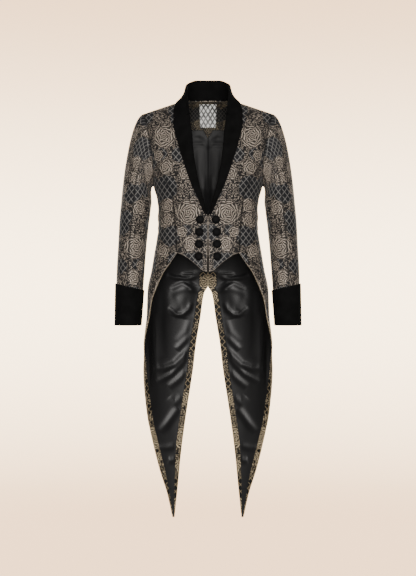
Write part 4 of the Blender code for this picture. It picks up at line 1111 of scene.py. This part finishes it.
# The tail's lining is longer than the tail, so it bags and creases
TAIL_SEWN_ACROSS = 1 / 14  # the share of its width, at each side, that its seams hold flat
TAIL_SEWN_DOWN = 0.02
TAIL_LINING_COLUMNS, TAIL_LINING_ROWS = 80, 226
TAIL_LINING_ROW = 0.003  # between the rows above the vent facing's top
OVAL_X, OVAL_Z = 0.079, -0.590
OVAL_HALF_WIDTH, OVAL_HALF_HEIGHT = 0.033, 0.039
OVAL = [(OVAL_X + (OVAL_HALF_WIDTH + 0.005 * math.sin(3 * turn)) * math.cos(turn),
         OVAL_Z + (OVAL_HALF_HEIGHT + 0.006 * math.cos(2 * turn + 0.7)) * math.sin(turn))
        for turn in np.linspace(-0.3 * math.pi, 1.55 * math.pi, 17)]
TAIL_LINING_FOLDS = (  # rise, width and route, from the centre and the height; one is an uneven oval
    (0.0052, 0.0060, (0.127, -0.5150), (0.102, -0.5225), (0.058, -0.5250), (0.026, -0.5130)),
    (0.0032, 0.0042, (0.082, -0.5110), (0.055, -0.5105), (0.024, -0.5076)),
    (0.0030, 0.0120, *OVAL),
    (0.0070, 0.0270, (0.052, -0.5350), (0.078, -0.5850), (0.092, -0.6450)),
    (0.0030, 0.0060, (0.117, -0.5580), (0.080, -0.5396), (0.054, -0.5550)),
    (0.0042, 0.0060, (0.123, -0.6134), (0.098, -0.6380), (0.080, -0.6362), (0.058, -0.6187),
     (0.049, -0.5993)),
    (0.0026, 0.0045, (0.060, -0.5580), (0.045, -0.5645), (0.028, -0.5673)),
    (0.0034, 0.0095, (0.099, -0.7446), (0.078, -0.7220), (0.052, -0.7006)),
    (0.0050, 0.0095, (0.168, -0.8000), (0.136, -0.8010), (0.104, -0.7900), (0.075, -0.7620),
     (0.050, -0.7320)),
    (0.0036, 0.0080, (0.158, -0.8420), (0.115, -0.8200), (0.089, -0.7950), (0.062, -0.7660)),
    (0.0032, 0.0100, (0.122, -0.8590), (0.095, -0.8380), (0.068, -0.8130)),
    (0.0042, 0.0110, (0.150, -0.9957), (0.126, -0.9689), (0.094, -0.9249)),
    (0.0026, 0.0090, (0.151, -1.0440), (0.128, -1.0460), (0.105, -1.0430)),
    (0.0026, 0.0090, (0.123, -1.0840), (0.112, -1.0860), (0.102, -1.0830)),
    (0.0070, 0.0100, (0.186, -0.6300), (0.187, -0.7400), (0.186, -0.8600)),
    (-0.0030, 0.0080, (0.166, -0.6300), (0.163, -0.7400), (0.160, -0.8380)),
    (0.0022, 0.0120, (0.140, -0.5600), (0.146, -0.6800), (0.138, -0.7700)),
    (0.0018, 0.0100, (0.050, -0.6400), (0.070, -0.6900), (0.100, -0.7200)),
    (0.0020, 0.0110, (0.120, -0.8900), (0.104, -0.9100), (0.080, -0.8900)),
)
levels = np.concatenate([np.arange(WAIST, FACING_TOP, -TAIL_LINING_ROW),
                         np.linspace(FACING_TOP, TAIL_LINING_END, TAIL_LINING_ROWS)])
inner = np.where(levels > FACING_TOP, 180, vent_facing_start(levels))
angle, level = strip_places(levels, edge_facing_end(levels), inner, TAIL_LINING_COLUMNS)
places = torso(angle, level)
across = np.linspace(0, 1, TAIL_LINING_COLUMNS)
sewn = np.clip(np.minimum(across, 1 - across) / TAIL_SEWN_ACROSS, 0, 1)
sewn = sewn * np.clip((WAIST - level) / TAIL_SEWN_DOWN, 0, 1)
sewn = sewn * np.clip((level - TAIL_LINING_END) / TAIL_SEWN_DOWN, 0, 1)
bagging = relief(TAIL_LINING_FOLDS, places[..., 0], places[..., 2]) * sewn
inside_cloth("tail_lining", angle, level, LINING, INSIDE - bagging, satin, "satin_lining")

levels = np.linspace(FACING_TOP, TAIL_END, VENT_FACING_ROWS)
angle, level = strip_places(levels, vent_facing_start(levels), back_edge(levels), STRIP_COLUMNS)
inside_cloth("vent_facing", angle, level, FACING, INSIDE, facing_brocade, "facing_brocade",
             open_sides=("end",), moved=VENT_ROSE)

levels = np.linspace(FIRST_STRIP_LEVEL, TAIL_END, EDGE_FACING_ROWS)
angle, level = strip_places(levels, tail_edge(levels), edge_facing_end(levels), STRIP_COLUMNS)
inside_cloth("edge_facing", angle, level, FACING, INSIDE, facing_brocade, "facing_brocade",
             open_sides=("start",))


# Collar and lapels: black velvet, sewn into the neck seam and along the fronts' edges. The collar stands up
# round the neck and folds over. The lapels go on from it at the gorge and turn back over the fronts.
VELVET = 0.0022
PILE = 0.0015  # coarser than real pile, so that it shows
BRUSHED = 0.0263  # across a patch where the pile lies one way
# The collar's neck seam, roll and outer edge, at stations from the centre back round to the front
COLLAR = table(
    "station neck_x neck_y neck_z roll_x roll_y roll_z edge_x edge_y edge_z",
    (0, 0.0000, 0.0750, 0.0180, 0.0000, 0.0790, 0.0770, 0.0000, 0.0885, 0.0030),
    (1, 0.0340, 0.0666, 0.0172, 0.0325, 0.0695, 0.0755, 0.0410, 0.0800, 0.0030),
    (2, 0.0565, 0.0473, 0.0150, 0.0530, 0.0475, 0.0655, 0.0680, 0.0530, 0.0035),
    (3, 0.0690, 0.0110, 0.0118, 0.0628, 0.0100, 0.0510, 0.0860, 0.0120, 0.0046),
    (4, 0.0665, -0.0260, 0.0000, 0.0625, -0.0300, 0.0360, 0.0955, -0.0280, -0.0094),
    (5, 0.0622, -0.0520, -0.0240, 0.0580, -0.0580, -0.0040, 0.1005, -0.0520, -0.0320),
    (6, 0.0575, -0.0680, -0.0445, 0.0545, -0.0760, -0.0400, 0.1022, -0.0700, -0.0530),
)
ON_THE_FRONT = 4.2  # the station from which the neck seam lies on the front
NECK_SEAM_GAP = 0.0015
COLLAR_MIDDLE_Y = 0.012
STAND_SHARES = (0.45, 0.88)
ROLL_WIDTH = 0.0046
ROLL_RISE = 0.0056
FALL_SHARES = (0.0, 0.28, 0.55, 0.80)
FALL_START = 0.95
FALL_FLARE = 2.6  # the fall stays close to the stand, and spreads out towards its edge
FALL_GAP = 0.0040
FALL_GAP_ROLL = 0.0015
SHOULDER_ZONE = 0.12
SHOULDER_STEPS = 60
LAPEL = table(
    "z roll edge",
    (-0.040, 0.0560, 0.1010),
    (-0.064, 0.0530, 0.1022),
    (-0.085, 0.0500, 0.0995),
    (-0.104, 0.0480, 0.0954),
    (-0.148, 0.0446, 0.0837),
    (-0.184, 0.0400, 0.0724),
    (-0.2135, 0.0349, 0.0630),
    (-0.255, 0.0262, 0.0475),
    (-0.296, 0.0145, 0.0290),
    (-0.330, 0.0062, 0.0140),
    (-0.346, 0.0022, 0.0062),
)
LAPEL_TOP, LAPEL_END = -0.0536, -0.340
GORGE_RISE, GORGE_FADE = 0.0098, 0.035  # how far the lapel's top rises towards the neck, and how far down
FULL_ROLL = 0.040  # a lapel as wide as this rolls over fully, and a narrower one more tightly
LAPEL_ROLL = table(
    "step x x_soft y y_soft",
    (0, -0.0022, 0.0000, 0.0030, 0.0000),
    (1, -0.0022, -0.0012, 0.0008, 0.0000),
    (2, -0.0020, -0.0016, -0.0020, 0.0000),
    (3, -0.0006, 0.0000, -0.0036, -0.0012),
)
LAPEL_LIFT = table("share lift", (0.12, 0.0046), (0.40, 0.0046), (0.70, 0.0034), (1.0, 0.0010))
LAPEL_GAP = 0.0016
FLAT_LIFT = 0.30
SMOOTHNESS = 2
COLLAR_SECTIONS = 61
LAPEL_ROWS = 73


def off_torso(point, distance, exactly=False):
    """The point, moved out where it lies too near the coat's surface round the shoulder."""
    places = []
    for front in (True, False):
        level = -SHOULDER_ZONE * (np.arange(1 if front else 0, SHOULDER_STEPS) / (SHOULDER_STEPS - 1)) ** 2
        places.append(np.stack([angle_for(point[0], level, front), level]))
    angle, level = np.concatenate(places, axis=1)
    nearest = int(np.argmin(np.linalg.norm(torso(angle, level) - point, axis=1)))
    normal = outward(angle[nearest], level[nearest])
    height = float(np.dot(point - torso(angle[nearest], level[nearest]), normal))
    return point if height >= distance and not exactly else point + normal * (distance - height)


def front_y(x, z):
    """Depth of the front's outer face, seen from the front."""
    level = level_for(x, z, True)
    return torso(angle_for(x, level, True), level)[..., 1]


def collar_section(station):
    """The collar's folded section at a station: up the stand, over the roll and down the fall."""
    at = {name: float(read(COLLAR, "station", name, station)) for name in COLLAR}
    neck, roll, hem = (np.array([at[f"{part}_{axis}"] for axis in "xyz"])
                       for part in ("neck", "roll", "edge"))
    if station > ON_THE_FRONT:
        neck[1] = front_y(neck[0], neck[2]) - NECK_SEAM_GAP
    hem = off_torso(hem, FALL_GAP, exactly=True)
    away = neck - np.array((0, COLLAR_MIDDLE_Y, neck[2]))
    away /= np.linalg.norm(away)
    stand = roll - neck
    points = [neck] + [neck + stand * share for share in STAND_SHARES]
    points.append(roll + away * ROLL_WIDTH / 2 + np.array((0, 0, ROLL_RISE)))
    for share in FALL_SHARES:
        flare = share**FALL_FLARE
        point = neck + (hem - neck) * (flare, flare, share) + away * ROLL_WIDTH * (1 - flare)
        point = point + stand * (FALL_START if share == 0 else 1 - share)
        points.append(off_torso(point, FALL_GAP + FALL_GAP_ROLL * (1 - share)))
    return points + [hem]


def smoothed(thing):
    """Rounds a piece with subdivisions, before its wall gets its thickness."""
    modifier = thing.modifiers.new("round", "SUBSURF")
    modifier.levels = SMOOTHNESS
    modifier.render_levels = SMOOTHNESS
    thing.modifiers.move(len(thing.modifiers) - 1, 0)


# Cotton velvet: a dense upright pile that swallows light, so only its turned edges show a little grey
velvet, add = new_material("black_velvet")
place = add("ShaderNodeTexCoord").outputs["Object"]
brushed = add("ShaderNodeTexNoise", {"Vector": place, "Scale": 1 / BRUSHED, "Detail": 3.0}).outputs[0]
pile = add("ShaderNodeTexNoise", {"Vector": place, "Scale": 1 / PILE, "Detail": 1.0}).outputs[0]
tone = add("ShaderNodeMix", {"Factor": brushed, 6: to_linear("#060606"), 7: to_linear("#191919")},
           data_type="RGBA").outputs[2]
height = add("ShaderNodeMath", {0: pile, 1: 0.4, 2: brushed}, operation="MULTIPLY_ADD").outputs[0]
bump = add("ShaderNodeBump", {"Height": height, "Strength": 0.3, "Distance": 0.0008}).outputs[0]
shader = add("ShaderNodeBsdfPrincipled",
             {"Base Color": tone, "Roughness": 0.9, "Specular IOR Level": 0.08, "Sheen Weight": 0.03,
              "Sheen Roughness": 0.3, "Normal": bump})
add("ShaderNodeOutputMaterial", {"Surface": shader.outputs[0]})

half_collar = np.array([collar_section(station) for station in np.linspace(0, 6, COLLAR_SECTIONS)])
collar_points = np.concatenate([half_collar[::-1] * np.array((-1, 1, 1)), half_collar[1:]])
collar = cloth_object("collar_velvet", collar_points, grid_normals(collar_points, False), None, VELVET,
                      (velvet,), offset=0.0)
smoothed(collar)
dress(collar, "collar")

lapel_rows = []
for row_z in np.linspace(LAPEL_TOP, LAPEL_END, LAPEL_ROWS):
    rise = GORGE_RISE * np.clip(1 - (LAPEL_TOP - row_z) / GORGE_FADE, 0, 1)
    z = row_z + rise
    inner_x, edge_x = read(FRONT_EDGE, "z", "x", z), read(LAPEL, "z", "edge", z)
    soft = min((edge_x - read(LAPEL, "z", "roll", z)) / FULL_ROLL, 1)
    inner_y = front_y(inner_x, z)
    row = [(inner_x + x + x_soft * soft, inner_y + y + y_soft * soft, z)
           for _, x, x_soft, y, y_soft in zip(*LAPEL_ROLL.values())]
    for share, lift in zip(*LAPEL_LIFT.values()):
        z = row_z + rise * (1 - share)
        x = inner_x + (edge_x - inner_x) * share
        row.append((x, front_y(x, z) - LAPEL_GAP - lift * (FLAT_LIFT + (1 - FLAT_LIFT) * soft), z))
    lapel_rows.append(row)
lapel_points = np.array(lapel_rows, float)
lapels = both_sides("lapel", lapel_points, grid_normals(lapel_points, False), None, VELVET, (velvet,),
                    "velvet", offset=0.0)
for thing in lapels:
    smoothed(thing)


# Cuffs: bands of the same black velvet, turned up double round the end of each sleeve and sewn down inside
# it. Their top edge slants.
CUFF_WALL = 0.0030
CUFF_HEM = -0.666
CUFF_TOP = -0.5513
CUFF_SLANT = 0.0097
CUFF_COLUMNS, CUFF_ROWS = 96, 30
cuff_turns = np.linspace(0, 360, CUFF_COLUMNS + 1)[:-1]
cuff_tops = CUFF_TOP + CUFF_SLANT * np.cos(np.radians(cuff_turns))
cuff_points = np.array([sleeve_ring(cuff_tops + (CUFF_HEM - cuff_tops) * share, cuff_turns)
                        for share in np.linspace(0, 1, CUFF_ROWS)])
cuff_normals = -grid_normals(cuff_points, True)
cuff_points = cuff_points + cuff_normals * (2 * SEAM + CUFF_WALL)
both_sides("cuff", cuff_points, cuff_normals, None, CUFF_WALL, (velvet,), "velvet", ring=True)


# Buttons: eight metal shells covered with black velvet, in two rows of four. Each is sewn to the front by a
# short shank.
BUTTONS = table(
    "row x z",
    (1, 0.0230, -0.3550),
    (2, 0.0250, -0.3916),
    (3, 0.0262, -0.4274),
    (4, 0.0265, -0.4630),
)
SHANK = 0.0045
# A button's outline, from its shank over the rim to the top of the dome
BUTTON = table(
    "height radius",
    (0.0000, SHANK),
    (0.0024, SHANK),
    (0.0032, 0.0120),
    (0.0052, 0.0124),
    (0.0088, 0.0085),
    (0.0100, 0.0000),
)
# Velvet drawn over a metal shell: its pile is pressed flat, so a faint gloss shows on the dome
button_velvet, add = new_material("button_velvet")
place = add("ShaderNodeTexCoord").outputs["Object"]
pile = add("ShaderNodeTexNoise", {"Vector": place, "Scale": 1 / PILE, "Detail": 2.0}).outputs[0]
tone = add("ShaderNodeMix", {"Factor": pile, 6: to_linear("#090909"), 7: to_linear("#161617")},
           data_type="RGBA").outputs[2]
bump = add("ShaderNodeBump", {"Height": pile, "Strength": 0.4, "Distance": 0.0006}).outputs[0]
shader = add("ShaderNodeBsdfPrincipled",
             {"Base Color": tone, "Roughness": 0.7, "Specular IOR Level": 0.12, "Sheen Weight": 0.01,
              "Sheen Roughness": 0.3, "Normal": bump})
add("ShaderNodeOutputMaterial", {"Surface": shader.outputs[0]})

number = 0
for sign in (-1, 1):
    for x, z in zip(BUTTONS["x"], BUTTONS["z"]):
        number += 1
        level = level_for(x, z, True)
        angle = angle_for(x, level, True)
        spot, normal = torso(angle, level), outward(angle, level)
        mesh = spun(zip(BUTTON["radius"], BUTTON["height"]), steps=32)
        bmesh.ops.holes_fill(mesh, edges=mesh.edges[:])
        bmesh.ops.recalc_face_normals(mesh, faces=mesh.faces[:])
        side = np.cross(normal, (0, 0, 1))
        side /= np.linalg.norm(side)
        turn = Matrix.Identity(4)
        for row, values in enumerate(np.stack([side, np.cross(side, normal), normal], axis=1)):
            turn[row][:3] = values
        turn.translation = spot + normal * SEAM
        bmesh.ops.transform(mesh, matrix=turn, verts=mesh.verts[:])
        if sign < 0:
            bmesh.ops.scale(mesh, vec=(-1, 1, 1), verts=mesh.verts[:])
            bmesh.ops.reverse_faces(mesh, faces=mesh.faces[:])
        button = smooth_object(f"button_{number}_velvet", mesh, button_velvet)
        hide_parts(f"button_{number}")
        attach(button, "root")


# Label: a plain piece of silvery satin with its ends turned in, sewn by hand to the neck facing in the
# middle of the back.
LABEL_TOP = -0.0064
LABEL_HEM = -0.0743
LABEL_SHARE = 0.075
LABEL_COLUMNS, LABEL_ROWS = 14, 31
WEAVE_DIAMOND, DIAMOND_LENGTH = 0.0140, 0.0224  # two or three times the real ones, so that they show
SHINE_SIZE = 0.0167  # across a patch where the satin is pressed a little flatter
# Silvery damask satin: a plain small diamond weave, bright with a soft gloss
label_satin, add = new_material("label_satin")
cloth = add("ShaderNodeUVMap", uv_map="cloth").outputs[0]
diamonds = crossing_lines(add, cloth, WEAVE_DIAMOND, DIAMOND_LENGTH)
shine = add("ShaderNodeTexNoise", {"Vector": cloth, "Scale": 1 / SHINE_SIZE, "Detail": 2.0}).outputs[0]
diamonds = add("ShaderNodeMath", {0: shine, 1: 0.5, 2: diamonds}, operation="MULTIPLY_ADD").outputs[0]
diamonds = add("ShaderNodeMapRange", {"Value": diamonds, "From Min": 0.34, "From Max": 0.52}).outputs[0]
tone = add("ShaderNodeMix", {"Factor": diamonds, 6: to_linear("#3a3a39"), 7: to_linear("#fdfdfa")},
           data_type="RGBA").outputs[2]
bump = add("ShaderNodeBump", {"Height": diamonds, "Strength": 0.3, "Distance": 0.0004}).outputs[0]
shader = add("ShaderNodeBsdfPrincipled", {"Base Color": tone, "Roughness": 0.4, "Normal": bump})
add("ShaderNodeOutputMaterial", {"Surface": shader.outputs[0]})

level = np.repeat(np.linspace(LABEL_TOP, LABEL_HEM, LABEL_ROWS)[:, None], LABEL_COLUMNS, axis=1)
angle = across_back(level, np.linspace(LABEL_SHARE, 0, LABEL_COLUMNS))
inside_cloth("label", angle, level, LINING, INSIDE - FACING - SEAM, label_satin, "label_satin", single=True)
